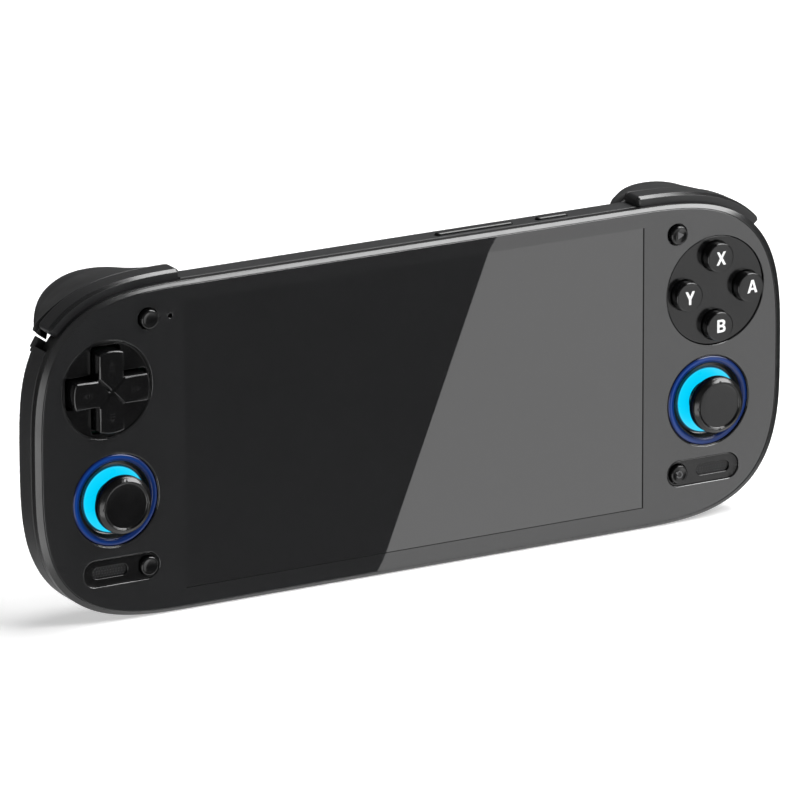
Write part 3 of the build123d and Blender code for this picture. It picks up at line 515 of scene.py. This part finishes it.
# ---------------------------------------------------------------------------
# D-pad and its dish
# ---------------------------------------------------------------------------
dx, dy = DPAD_C
g = Build()
well_prof = ([(0.62, -0.6), (0.50, -0.59), (0.40, -0.55), (0.34, -0.48), (0.31, -0.40), (0.30, -0.26)] + rounded(0.30, -0.2, 0.22, -0.12, 3, False)[1:]
             + rounded(0.10, -0.12, 0.0, -0.22, 4) + [(0.0, -1.9)])
g.plate((circle(dx, dy, DPAD_R - 0.06, 160), well_prof),
        [(cross(dx, dy, 4.05, 11.15, 0.8, 0.5), rounded(0.25, -0.6, 0.0, -0.85, 5) + [(0.0, -1.9)])])
g.place("dpad_dish", [M["well_black"]], "casing", ["dpad_well"], "well_black")


GROOVE, GROOVE_IN = 0.60, 0.14


def groove(x, y, z):
    if z < 2.0:
        return z
    u, v = x - dx, y - dy
    d = min(abs(u - v), abs(u + v)) / math.sqrt(2)
    far = max(abs(u), abs(v))
    if far > 4.5:
        return z
    return z - 0.44 * min(1.0, max(0.0, (GROOVE - d) / (GROOVE - GROOVE_IN)))


g = Build()
lines = []
q, q_in = math.sqrt(2) * GROOVE, math.sqrt(2) * GROOVE_IN
for sx, sy in ((1, 1), (-1, 1), (1, -1), (-1, -1)):
    t, u = 3.2, 3.02
    lines.append([(dx, dy), (dx + sx * t, dy + sy * t)])
    lines.append([(dx + sx * q, dy), (dx + sx * (q + u), dy + sy * u)])
    lines.append([(dx, dy + sy * q), (dx + sx * u, dy + sy * (q + u))])
    lines.append([(dx + sx * q_in, dy), (dx + sx * (q_in + u), dy + sy * u)])
    lines.append([(dx, dy + sy * q_in), (dx + sx * u, dy + sy * (q_in + u))])
pad_prof = rounded(0.40, 2.8, 0.0, 2.4, 6) + [(0.0, 0.0), (0.0, -2.5)]
g.plate((cross(dx, dy, 3.5, 10.55, 0.5, 0.3, bulge=0.55, n=11), pad_prof), height=groove, extra=lines)
g.lathe(dx, dy, [(0, -3.2), (10.7, -3.2), (11.0, -3.3), (11.0, -3.9), (10.8, -4.0), (2.9, -4.0), (2.9, -4.8), (1.7, -4.8), (1.7, -4.0), (0, -4.0)], n=96)
g.place("dpad_key", [M["key_black"]], "dpad", ["dpad"], "key_black", angle=34)

# plain direction marks, level with the surface
g = Build()
for k in range(4):
    c, s = [(1, 0), (0, 1), (-1, 0), (0, -1)][k]

    def turn(pts):
        return [(dx + c * x - s * y, dy + s * x + c * y) for x, y in pts]
    g.prism(turn([(6.85, -0.75), (7.95, 0.0), (6.85, 0.75)]), 2.76, 2.812)
    g.prism(turn([(6.15, -0.8), (6.40, -0.8), (6.40, 0.8), (6.15, 0.8)]), 2.76, 2.812)
    g.prism(turn([(5.45, -0.8), (5.70, -0.8), (5.70, 0.8), (5.45, 0.8)]), 2.76, 2.812)
g.place("dpad_marks", [TRACE_INK], "dpad", slot="key_black")

# ---------------------------------------------------------------------------
# Face buttons and their plate
# ---------------------------------------------------------------------------
ax, ay = ABXY_C
BTN = {"x": (0, ABXY_P), "a": (ABXY_P, 0), "b": (0, -ABXY_P), "y": (-ABXY_P, 0)}
g = Build()
g.plate((circle(ax, ay, ABXY_R - 0.08, 160), rounded(0.26, -0.3, 0.0, -0.56, 5) + [(0.0, -1.9)]),
        [(circle(ax + bx, ay + by, 4.06, 80), rounded(0.16, -0.3, 0.0, -0.46, 5) + [(0.0, -1.9)]) for bx, by in BTN.values()])
g.place("abxy_plate", [M["well_black"]], "casing", ["abxy_well"], "well_black")

LETTER = {
    "x": [[(-1.40, -1.75), (-0.66, -1.75), (0.0, -0.60), (0.66, -1.75), (1.40, -1.75), (0.42, 0.02), (1.33, 1.75), (0.62, 1.75), (0.0, 0.62),
           (-0.62, 1.75), (-1.33, 1.75), (-0.42, 0.02)]],
    "a": [[(-1.45, -1.70), (-0.76, -1.70), (-0.50, -0.93), (0.50, -0.93), (0.76, -1.70), (1.45, -1.70), (0.38, 1.70), (-0.38, 1.70)],
          [(-0.38, -0.42), (0.38, -0.42), (0.0, 0.88)]],
    "b": [[(-1.20, -1.70), (0.30, -1.70), (0.72, -1.63), (1.05, -1.43), (1.23, -1.10), (1.26, -0.74), (1.18, -0.36), (1.0, -0.08), (0.72, 0.08),
           (0.96, 0.26), (1.10, 0.52), (1.14, 0.84), (1.07, 1.20), (0.86, 1.48), (0.56, 1.65), (0.18, 1.70), (-1.20, 1.70)],
          [(-0.56, -1.12), (0.20, -1.12), (0.44, -1.03), (0.57, -0.84), (0.57, -0.60), (0.44, -0.40), (0.20, -0.31), (-0.56, -0.31)],
          [(-0.56, 0.30), (0.12, 0.30), (0.33, 0.38), (0.45, 0.57), (0.45, 0.82), (0.33, 1.01), (0.12, 1.11), (-0.56, 1.11)]],
    "y": [[(-0.34, -1.75), (0.34, -1.75), (0.34, -0.38), (1.38, 1.75), (0.64, 1.75), (0.0, 0.40), (-0.64, 1.75), (-1.38, 1.75), (-0.34, -0.38)]],
}
LETTER_AT = {"x": (0.12, -0.10), "a": (0.38, 0.28), "b": (0.26, 0.18), "y": (0.02, -0.25)}
for k, (bx, by) in BTN.items():
    cx, cy = ax + bx, ay + by
    g = Build()
    prof = ([(0, 2.52), (1.6, 2.525), (2.7, 2.55), (3.3, 2.59), (3.48, 2.6)] + rounded(3.50, 2.6, 3.85, 2.25, 6)
            + [(3.85, -0.6), (3.85, -1.6), (3.9, -1.65), (4.55, -1.65), (4.6, -1.7), (4.6, -2.45), (4.55, -2.5), (2.9, -2.5), (2.9, -0.6), (1.6, -0.6),
               (1.6, -3.45), (1.5, -3.5), (0, -3.5)])
    g.lathe(cx, cy, prof, n=112)
    g.place("button_%s_key" % k, [M["key_black"]], "button_" + k, ["button_" + k], "key_black")
    g = Build()
    lx, ly = LETTER_AT[k]
    loops = [[(cx + lx + x, cy + ly + y) for x, y in l] for l in LETTER[k]]
    g.prism(loops[0], 2.47, 2.585, holes=loops[1:])
    g.place("button_%s_letter" % k, [WHITE_INK], "button_" + k, slot="key_black")

# ---------------------------------------------------------------------------
# Sticks
# ---------------------------------------------------------------------------
CAP = [(0, 5.30), (3.0, 5.30), (5.5, 5.31), (5.70, 5.335), (5.83, 5.42), (5.92, 5.55), (6.0, 5.68), (6.08, 5.77), (6.18, 5.8), (6.3, 5.77), (6.42, 5.69),
       (6.75, 5.435), (7.1, 5.165), (7.24, 5.02), (7.35, 4.82), (7.40, 4.6), (7.41, 4.3), (7.41, 3.0), (7.36, 2.8), (7.2, 2.66), (6.9, 2.6), (6.3, 2.56),
       (3.5, 2.0), (3.4, 1.95), (0, 1.95)]


def tick_warp(r, z, a):
    """Small notches across the rim at twelve, three, six and nine o'clock."""
    if 5.8 < r < 6.6 and z > 5.2:
        d = min(abs((a - t + math.pi) % (2 * math.pi) - math.pi) for t in (0, math.pi / 2, math.pi, 3 * math.pi / 2)) * r
        z -= 0.24 * max(0.0, 1 - (d / 0.26) ** 2) * max(0.0, 1 - abs(r - 6.18) / 0.42)
    return r, z


for side, s in (("r", 1), ("l", -1)):
    cx, cy = s * STICK_C[0], STICK_C[1]
    g = Build()
    prof = (rounded(11.87, -0.24, 11.93, -0.14, 2, False) + rounded(11.97, -0.12, 12.04, -0.2, 3)
            + [(12.04, -1.86), (12.7, -1.86), (12.75, -1.9), (12.75, -2.3), (5.5, -2.3), (5.5, -1.68), (8.66, -1.68), (8.68, -1.2), (8.74, -1.1),
               (9.3, -0.77), (9.72, -0.53), (9.80, -0.48), (9.86, -0.50), (9.88, -0.6), (9.88, -1.75), (11.87, -1.75)])
    g.lathe(cx, cy, prof, n=144)
    g.place("stick_bowl_" + side, [M["well_black"]], "casing", ["stick_well_" + side], "well_black", angle=40)
    g = Build()
    crown = [(9.93, -1.7), (9.93, -0.72), (9.98, -0.52), (10.08, -0.36), (10.24, -0.24), (10.46, -0.155), (10.7, -0.115), (10.95, -0.105), (11.2, -0.125),
             (11.42, -0.18), (11.6, -0.27), (11.72, -0.38), (11.8, -0.54), (11.82, -0.7), (11.82, -1.7)]
    g.lathe(cx, cy, crown, n=144)
    blue = material("light_blue_" + side, (0.002, 0.010, 0.06), 0.14, ior_level=0.36, vary=0.05, emission=(0.02, 0.07, 0.45), strength=1.0)
    # The ring's blue glow is real; the stops also paint a highlight along its round crown and shade at its inner and
    # outer edges, and the last argument paints shade on the lower right, away from the lights.
    radial_emission(blue, (cx, cy), [(9.9, (0.0, 0.001, 0.008)), (10.3, (0.0, 0.006, 0.045)), (10.75, (0.0, 0.022, 0.13)), (11.05, (0.002, 0.042, 0.22)),
                                     (11.35, (0.0, 0.020, 0.12)), (11.6, (0.0, 0.005, 0.04)), (11.82, (0.0, 0.0, 0.008))], 1.0, lit_side=(-0.62, 0.35, 0.30))
    g.place("stick_light_ring_" + side, [blue], "casing", ["stick_ring_" + side], "light_blue", angle=40)
    g = Build()
    g.lathe(cx, cy, [(5.1, -1.14), (8.4, -1.12), (8.55, -1.14), (8.61, -1.2), (8.62, -1.62), (5.55, -1.62), (5.5, -1.4), (5.1, -1.36)], n=128)
    cyan = material("light_cyan_" + side, (0.0, 0.04, 0.06), 0.3, vary=0.05, emission=(0.0, 0.66, 1.0), strength=1.0)
    radial_emission(cyan, (cx, cy), [(5.1, (0.0, 0.60, 0.92)), (7.9, (0.0, 0.66, 1.0)), (8.26, (0.02, 0.67, 1.0)), (8.44, (0.0, 0.22, 0.36)), (8.56, (0.0, 0.02, 0.05))], 1.0)
    g.place("stick_light_disc_" + side, [cyan], "casing", ["stick_glow_" + side], "light_cyan")
    g = Build()
    g.lathe(cx, cy, CAP, n=256, warp=tick_warp)
    g.place("stick_top_" + side, [M["cap_rubber"]], "stick_cap_" + side, ["stick_cap_" + side], "cap_rubber", angle=50)

# ---------------------------------------------------------------------------
# Small round keys, pill trims, speaker meshes
# ---------------------------------------------------------------------------
def round_key(cx, cy, r, top, flange, z_flange):
    g = Build()
    prof = ([(0, top - 0.26), (r * 0.3, top - 0.235), (r * 0.55, top - 0.16), (r * 0.72, top - 0.06), (r - 0.45, top)] + rounded(r - 0.36, top, r, top - 0.36, 6)
            + [(r, z_flange + 0.05), (r + 0.05, z_flange), (flange, z_flange), (flange, z_flange - 0.45), (1.2, z_flange - 0.5), (1.2, -4.65), (0, -4.7)])
    g.lathe(cx, cy, prof, n=80)
    return g


kx, ky = KEY_C
px, py = PILL_C
round_key(kx, ky, 2.4, 1.3, 3.3, -1.95).place("start_key", [M["key_black"]], "start_button", ["start_button"], "key_black")
round_key(-kx, ky, 2.4, 1.3, 3.3, -1.95).place("select_key", [M["key_black"]], "select_button", ["select_button"], "key_black")
round_key(PILL_KEY_X, py, 2.4, 0.9, 3.15, -2.3).place("back_key", [M["key_black"]], "back_button", ["back_button"], "key_black")
round_key(-PILL_KEY_X, py, 2.4, 0.9, 3.15, -2.3).place("home_key", [M["key_black"]], "home_button", ["home_button"], "key_black")
g = Build()
g.prism([(kx - 0.50, ky - 0.98), (kx + 1.25, ky + 0.06), (kx - 0.50, ky + 1.06)], 0.98, 1.19)
g.place("start_key_mark", [FAINT_INK], "start_button", slot="key_black")
g = Build()
arc = [math.radians(a) for a in np.linspace(205, 500, 26)]
outer = [(PILL_KEY_X + 0.98 * math.cos(a), py + 0.98 * math.sin(a)) for a in arc]
inner = [(PILL_KEY_X + 0.62 * math.cos(a), py + 0.62 * math.sin(a)) for a in arc]
g.prism(outer + inner[::-1], 0.58, 0.735)
tip = math.radians(140)
tx, ty = PILL_KEY_X + 0.8 * math.cos(tip), py + 0.8 * math.sin(tip)
g.prism([(tx + 0.42, ty + 0.42), (tx - 0.62, ty + 0.10), (tx + 0.14, ty - 0.62)], 0.58, 0.737)
g.place("back_key_mark", [FAINT_INK], "back_button", slot="key_black")

mesh = Build()
for side, s in (("r", 1), ("l", -1)):
    g = Build()
    g.plate((stadium(s * px, py, PILL_L - 0.12, PILL_W - 0.12), rounded(0.24, -0.3, 0.0, -0.54, 5) + [(0.0, -1.9)]),
            [(circle(s * PILL_KEY_X, py, 2.66, 72), rounded(0.14, -0.3, 0.0, -0.44, 4) + [(0.0, -1.9)]),
             (stadium(s * GRILLE_X, py, GRILLE_L, GRILLE_W, 20), rounded(0.2, -0.3, 0.0, -0.5, 4) + [(0.0, -1.9)])])
    g.place("pill_" + side, [M["well_black"]], "casing", ["pill_trim_" + side], "well_black")
    dots = []
    for row in range(4):
        y = py + (row - 1.5) * 0.66
        n = 12 if row in (1, 2) else 11
        dots += [(circle(s * (GRILLE_X + (i - (n - 1) / 2) * 0.78), y, 0.22, 10), [(0.0, -0.87), (0.0, -1.0)]) for i in range(n)]
    mesh.plate((stadium(s * GRILLE_X, py, GRILLE_L + 0.0, GRILLE_W + 0.0, 16), [(0.0, -0.87), (0.0, -1.0)]), dots)
    mesh.plate((stadium(s * GRILLE_X, py, GRILLE_L - 0.1, GRILLE_W - 0.1, 16), [(0.0, -0.98), (0.0, -1.1)]), mat=1)
mesh.place("speaker_grilles", [M["grille_metal"], M["grille_cloth"]], "casing", ["speaker_meshes"], "grille_metal")

# ---------------------------------------------------------------------------
# Keys on the top wall
# ---------------------------------------------------------------------------
for name, x0, x1 in (("volume_rocker", 8.2, 30.4), ("power_button", 37.3, 46.4)):
    xm = (x0 + x1) / 2
    g = Build()
    g.plate((stadium(xm, 5.2, x1 - x0, 1.9, 24), rounded(0.34, END_B + 0.62, 0.0, END_B + 0.28, 6) + [(0.0, END_B - 2.42)]))
    g.prism([(x0 - 0.9, 3.7), (x1 + 0.9, 3.7), (x1 + 0.9, 6.7), (x0 - 0.9, 6.7)], END_B - 3.0, END_B - 2.42)
    g.place(name + "_key", [M["key_black"]], name, [name], "key_black", frame_fn=top_frame)

# ---------------------------------------------------------------------------
# Bumpers and triggers.  A section is a closed line of (height over the outline,
# depth) at a station along the upper outline of the body.
# ---------------------------------------------------------------------------
SH_X0, SH_X1 = 65.6, 100.4
BUMP_TOP, BUMP_FRONT, BUMP_BACK, BEVEL_H, BEVEL_D, BUMP_R = 2.5, 2.35, 8.6, 0.65, 1.05, 1.1
PIN_Y, PIN_D, TRIG_START = 38.4, 10.9, 8.9
LOBE = [(65.8, 13.6, -2.0, 0.40), (67.4, 16.8, -1.7, 0.64), (70.2, 19.8, -1.4, 0.88), (74.0, 22.8, -0.85, 1.0), (78.0, 24.2, -0.35, 1.0),
        (82.0, 24.4, 0.1, 1.0), (86.0, 24.2, 0.35, 1.0), (90.0, 23.4, 0.3, 1.0), (94.0, 21.6, 0.15, 0.9), (97.0, 18.9, 0.0, 0.75),
        (99.6, 15.5, -0.4, 0.55), (101.2, 12.9, -0.9, 0.42)]


def station(x):
    t = min(max((x - FLAT_X) / END_A, 0.0), 0.999999)
    v = (1 - t ** END_N) ** (1 / END_N)
    gx, gy = t ** (END_N - 1) / END_A, v ** (END_N - 1) / END_B
    k = math.hypot(gx, gy)
    return x, END_B * v, gx / k, gy / k


def section_ring(x, pts, side):
    px_, py_, nx, ny = station(x)
    return [(side * (px_ + nx * u), py_ + ny * u, -d) for u, d in pts]


def walk(x0, x1, ends, n):
    """Stations with their distance from the nearer end along the outline, close together at the ends."""
    xs = np.linspace(x0, x1, 400)
    ys = np.array([station(x)[1] for x in xs])
    arc = np.concatenate([[0], np.cumsum(np.hypot(np.diff(xs), np.diff(ys)))])
    total = arc[-1]
    s = sorted(set([round(e, 4) for e in ends] + [round(total - e, 4) for e in ends] + [round(v, 4) for v in np.linspace(max(ends), total - max(ends), n)]))
    return [(float(np.interp(v, arc, xs)), max(0.0, min(v, total - v))) for v in s]


def hermite(keys, vals, q):
    """Smooth curve through (keys, vals), with the slopes of the neighbouring points."""
    keys, vals = np.asarray(keys, float), np.asarray(vals, float)
    slope = np.gradient(vals, keys, axis=0)
    i = np.clip(np.searchsorted(keys, q, side="right") - 1, 0, len(keys) - 2)
    h = keys[i + 1] - keys[i]
    t = (q - keys[i]) / h
    if vals.ndim > 1:
        h, t = h[:, None], t[:, None]
    return ((2 * t ** 3 - 3 * t ** 2 + 1) * vals[i] + (t ** 3 - 2 * t ** 2 + t) * h * slope[i]
            + (3 * t ** 2 - 2 * t ** 3) * vals[i + 1] + (t ** 3 - t ** 2) * h * slope[i + 1])


def along(pts, n):
    """n points evenly spaced on a smooth line through pts."""
    pts = np.asarray(pts, float)
    key = np.concatenate([[0], np.cumsum(np.hypot(*np.diff(pts, axis=0).T))])
    return hermite(key, pts, np.linspace(0, key[-1], n))


def cap_end(g, ring, k, mat=0):
    c = len(g.v)
    g.v.append(tuple(np.mean(np.array(ring), axis=0)))
    base, n = k, len(ring)
    for i in range(n):
        g.f.append((c, base + i, base + (i + 1) % n))
        g.m.append(mat)


def side_lug(g, x0, x1, outline_pts, hole, side):
    """Plate across x, drawn as an outline of (height, depth) with a round hole."""
    t = Build()
    t.prism(outline_pts, x0, x1, holes=[hole])
    g.add([(side * z, x, -y) for x, y, z in t.v], t.f, 0)


def ring_of(cx, cy, r, n=24):
    return [(cx + r * math.cos(2 * math.pi * i / n), cy + r * math.sin(2 * math.pi * i / n)) for i in range(n)]


for side, tag in ((1, "r"), (-1, "l")):
    g = Build()
    rings = []
    for x, e in walk(SH_X0, SH_X1, [0, 0.08, 0.2, 0.36, 0.56, 0.8, 1.1], 46):
        low = BUMP_R - math.sqrt(max(0.0, BUMP_R ** 2 - (BUMP_R - e) ** 2)) if e < BUMP_R else 0.0
        k = min(1.0, e / BEVEL_H)
        top, df = BUMP_TOP - low, BUMP_FRONT + BEVEL_D * (1 - k)
        bh, db = BEVEL_H * k, BUMP_FRONT + BEVEL_D
        rings.append(section_ring(x, [(-0.6, df), (top - bh - 0.10, df), (top - bh - 0.03 * k, df + 0.012), (top - bh + 0.035 * k, df + 0.06 * k + 0.02),
                                      (top - 0.05, db - 0.06), (top - 0.012, db + 0.02), (top, db + 0.14), (top, BUMP_BACK - 0.65), (top - 0.05, BUMP_BACK - 0.30),
                                      (top - 0.17, BUMP_BACK - 0.08), (top - 0.32, BUMP_BACK), (-0.6, BUMP_BACK)], side))
    b = len(g.v)
    g.rings(rings, mat=0)
    n = len(rings[0])
    # the bevel has its own finish
    for q in range(len(rings) - 1):
        for i in (3,):
            g.m[q * n + i] = 1
    cap_end(g, rings[0], b)
    cap_end(g, rings[-1], b + (len(rings) - 1) * n)
    lug = [(66.95, 42.2), (66.95, 40.4)] + [(68.2 + 1.25 * math.cos(a), 40.4 + 1.25 * math.sin(a)) for a in np.linspace(math.pi, 2 * math.pi, 13)[1:-1]]
    lug += [(69.45, 40.4), (69.45, 42.2)]
    t = Build()
    t.prism(lug, -6.5, -4.1, holes=[ring_of(68.2, 40.4, 0.64)])
    g.add([(side * x, y, z) for x, y, z in t.v], t.f, 0)
    g.place(tag + "1_bumper", [M["shoulder_black"], M["shoulder_bevel"]], tag + "1_button", [tag + "1_button"], "shoulder_black", angle=28)

    g = Build()
    keys = np.array([k[0] for k in LOBE])
    par = np.array([k[1:] for k in LOBE])
    nose, up, wall = 2.57, 2.25, 1.75
    rings = []
    for x, e in walk(65.8, 101.2, [0, 0.06, 0.18, 0.36, 0.6, 0.9, 1.2], 54):
        dn, crest, drop = hermite(keys, par, np.array([x]))[0]
        r = 1.2
        low = 0.75 * (r - math.sqrt(max(0.0, r ** 2 - (r - e) ** 2))) if e < r else 0.0
        sx, sy, snx, sny = station(x)
        start = TRIG_START + 0.185 * max(0.0, PIN_Y - (sy + sny * 0.6))
        top = [(up + (crest - up) * w + 0.45 * w * (1 - w), start + (dn - start) * w) for w in (0.0, 0.33, 0.66)]
        thick = min(wall, 3.2 * drop)
        o = top + [(crest, dn)] + [(crest - k * drop, dn + q * nose) for k, q in ((0.7, 0.5), (2.1, 0.84), (4.5, 1.0), (7.0, 0.94), (9.2, 0.66))]
        inner = [(crest - k * drop, dn + q * nose) for k, q in ((8.8, 0.02), (6.8, 0.28), (4.5, 0.34))]
        inner += [(crest - thick - 0.35 * drop, dn - 0.1 * nose)] + [(u - thick, d) for u, d in reversed(top)]
        oc = along(o, 40)
        d = np.gradient(oc, axis=0)
        nrm = np.stack([-d[:, 1], d[:, 0]], 1) / np.hypot(d[:, 0], d[:, 1])[:, None]
        oc = oc + nrm * low                                   # the ends round inwards
        first = [(oc[0][0] - 0.22, start), (oc[0][0] - 0.07, start + 0.06)]
        oc = [tuple(p) for p in oc]
        oc[0] = (oc[0][0] + 0.0, start + 0.2)
        rings.append(section_ring(x, first + oc + [tuple(p) for p in along(inner, 30)], side))
    b = len(g.v)
    g.rings(rings)
    n = len(rings[0])
    for k, ring in ((0, rings[0]), (len(rings) - 1, rings[-1])):
        # the end faces are strips between the outer and the inner line
        m_out = 42
        for i in range(m_out - 1):
            j = n - 1 - int(round(i * (n - m_out - 1) / (m_out - 1)))
            j2 = n - 1 - int(round((i + 1) * (n - m_out - 1) / (m_out - 1)))
            f = [b + k * n + i, b + k * n + i + 1, b + k * n + j2] + ([b + k * n + j] if j != j2 else [])
            g.f.append(tuple(f))
            g.m.append(0)
    for x0, x1, y1 in ((71.4, 73.8, 42.9), (76.2, 78.6, 42.4)):
        c = [(PIN_Y + 1.7 * math.cos(a), PIN_D + 1.7 * math.sin(a)) for a in np.linspace(math.radians(50), math.radians(289), 20)]
        side_lug(g, x0, x1, [(y1, PIN_D - 1.6), (y1, PIN_D + 1.3)] + c, ring_of(PIN_Y, PIN_D, 0.84), side)
    g.place(tag + "2_lobe", [M["shoulder_black"]], tag + "2_trigger", [tag + "2_trigger"], "shoulder_black", angle=34)

# the shell closes the recess beside the outer end of each trigger
g = Build()
for side in (1, -1):
    b = len(g.v)
    rings = [section_ring(x, [(-6.4, 9.3), (-0.5, 9.3), (-0.3, 9.6), (-0.4, 11.2), (-1.0, 12.6), (-6.4, 13.0)], side) for x in np.linspace(101.6, 103.2, 7)]
    g.rings(rings, mat=0)
    cap_end(g, rings[0], b)
    cap_end(g, rings[-1], b + 6 * 6)
g.place("recess_ends", [M["shell_black"]], "casing", slot="shell_black", angle=34)

# ---------------------------------------------------------------------------
# Camera at the photograph's angle
# ---------------------------------------------------------------------------
cam_data = bpy.data.cameras.new("camera")
cam = bpy.data.objects.new("camera", cam_data)
bpy.context.scene.collection.objects.link(cam)
CAM = Vector((-1.05972574, -1.88788228, 0.69525268))
RIGHT, FWD = Vector((0.87136176, -0.49063276, -0.00285993)), Vector((0.46897228, 0.83457768, -0.2890417))
FWD.normalize()
RIGHT = (RIGHT - FWD * RIGHT.dot(FWD)).normalized()
UP = RIGHT.cross(FWD)
rot = Matrix((RIGHT, UP, -FWD)).transposed()
cam.matrix_world = Matrix.Translation(CAM) @ rot.to_4x4()
cam_data.sensor_width, cam_data.lens = 36.0, 403.8015
cam_data.shift_x, cam_data.shift_y = -0.000625, 0.000625
cam_data.clip_start, cam_data.clip_end = 0.05, 60.0
bpy.context.scene.camera = cam


def pixel_ray(px_, py_):
    k = 36.0 / 403.8 / 800.0
    return (FWD + RIGHT * ((px_ - 400) * k) - UP * ((py_ - 400) * k)).normalized()


def on_glass(px_, py_):
    d = pixel_ray(px_, py_)
    return CAM + d * ((YG / 1000 - CAM.y) / d.y)


# ---------------------------------------------------------------------------
# Floor and light
# ---------------------------------------------------------------------------
bpy.ops.mesh.primitive_plane_add(size=24)
floor = bpy.context.object
floor.name = "floor"
fm = bpy.data.materials.new("floor_white")
fm.use_nodes = True
fp = fm.node_tree.nodes["Principled BSDF"]
fp.inputs["Base Color"].default_value = (0.93, 0.93, 0.93, 1)
fp.inputs["Roughness"].default_value = 0.9
fp.inputs["Specular IOR Level"].default_value = 0.1
fp.inputs["Emission Color"].default_value = (1, 1, 1, 1)
fp.inputs["Emission Strength"].default_value = 0.45
floor.data.materials.append(fm)
floor.location.z = -0.0002
floor.visible_glossy = False
floor.visible_shadow = False

world = bpy.data.worlds.new("studio")
bpy.context.scene.world = world
world.use_nodes = True
wn = world.node_tree
bg = wn.nodes["Background"]
tc = wn.nodes.new("ShaderNodeTexCoord")
sep = wn.nodes.new("ShaderNodeSeparateXYZ")
ramp = wn.nodes.new("ShaderNodeValToRGB")
mr = wn.nodes.new("ShaderNodeMapRange")
mr.inputs["From Min"].default_value, mr.inputs["From Max"].default_value = -1, 1
wn.links.new(tc.outputs["Generated"], sep.inputs[0])
wn.links.new(sep.outputs["Z"], mr.inputs["Value"])
wn.links.new(mr.outputs["Result"], ramp.inputs["Fac"])
wn.links.new(ramp.outputs["Color"], bg.inputs["Color"])
e = ramp.color_ramp.elements
e[0].position, e[0].color = 0.0, (1.15, 1.15, 1.15, 1)
e[1].position, e[1].color = 1.0, (0.05, 0.05, 0.05, 1)
for pos, val in ((0.18, 1.0), (0.29, 0.25), (0.355, 0.06), (0.49, 0.11), (0.51, 0.16), (0.65, 0.22), (0.74, 0.14), (0.84, 0.05)):
    el = e.new(pos)
    el.color = (val, val, val, 1)
bg.inputs["Strength"].default_value = 1.0


def area(name, loc, target, sx, sy, radiance, diffuse=True, glossy=True, up=(0, 0, 1)):
    l = bpy.data.lights.new(name, "AREA")
    l.shape, l.size, l.size_y = "RECTANGLE", sx, sy
    l.energy = radiance * math.pi * sx * sy
    ob = bpy.data.objects.new(name, l)
    bpy.context.scene.collection.objects.link(ob)
    z = (Vector(loc) - Vector(target)).normalized()
    x = Vector(up).cross(z).normalized()
    y = z.cross(x)
    ob.matrix_world = Matrix.Translation(Vector(loc)) @ Matrix((x, y, z)).transposed().to_4x4()
    ob.visible_camera = False
    ob.visible_diffuse = diffuse
    ob.visible_glossy = glossy
    return ob


# large soft light over the front, and a weaker one on the left
area("softbox_top", (0.50, -0.55, 0.80), (0, 0, 0.05), 0.56, 0.56, 7.5, glossy=False)
area("softbox_top_sheen", (0.71, -0.535, 0.70), (0, 0, 0.05), 0.86, 0.62, 10.8, diffuse=False)
area("softbox_over", (0.46, 0.08, 1.0), (0, 0, 0.08), 0.80, 0.42, 9.0)
area("softbox_left", (-1.0, -0.55, 0.25), (0, 0, 0.04), 0.5, 0.5, 2.0, glossy=False)
area("card_left", (-0.78, -0.82, -0.32), (-0.1, -0.01, 0.04), 1.1, 0.7, 2.9, diffuse=False)

# the card whose straight edge shows as a diagonal in the glass
g0 = Vector((0.0, YG / 1000, ZC / 1000))
mirror = Vector((CAM.x, 2 * YG / 1000 - CAM.y, CAM.z))
d0 = (g0 - mirror).normalized()
plane_at = g0 + d0 * 0.24


def on_card(p):
    d = (p - mirror).normalized()
    return mirror + d * ((plane_at - mirror).dot(d0) / d.dot(d0))


ea, eb = on_card(on_glass(492.5, 238.7)), on_card(on_glass(379.5, 570.0))
edge = (ea - eb).normalized()
side_dir = edge.cross(d0).normalized()
if side_dir.dot(on_card(on_glass(700, 400)) - ea) < 0:
    side_dir = -side_dir
W = side_dir.dot(on_card(on_glass(792, 330)) - ea) + 0.012
H = 0.42
centre = (ea + eb) / 2 + side_dir * (W / 2)
card = bpy.data.lights.new("sheen_card", "AREA")
card.shape, card.size, card.size_y = "RECTANGLE", W, H
card.energy = 1.16 * math.pi * W * H
card_ob = bpy.data.objects.new("sheen_card", card)
bpy.context.scene.collection.objects.link(card_ob)
zax = d0
xax = side_dir
yax = zax.cross(xax)
card_ob.matrix_world = Matrix.Translation(centre) @ Matrix((xax, yax, zax)).transposed().to_4x4()
card_ob.visible_camera = False
card_ob.visible_diffuse = False

vs = bpy.context.scene.view_settings
vs.view_transform, vs.look, vs.exposure, vs.gamma = "Standard", "None", 0.0, 1.0
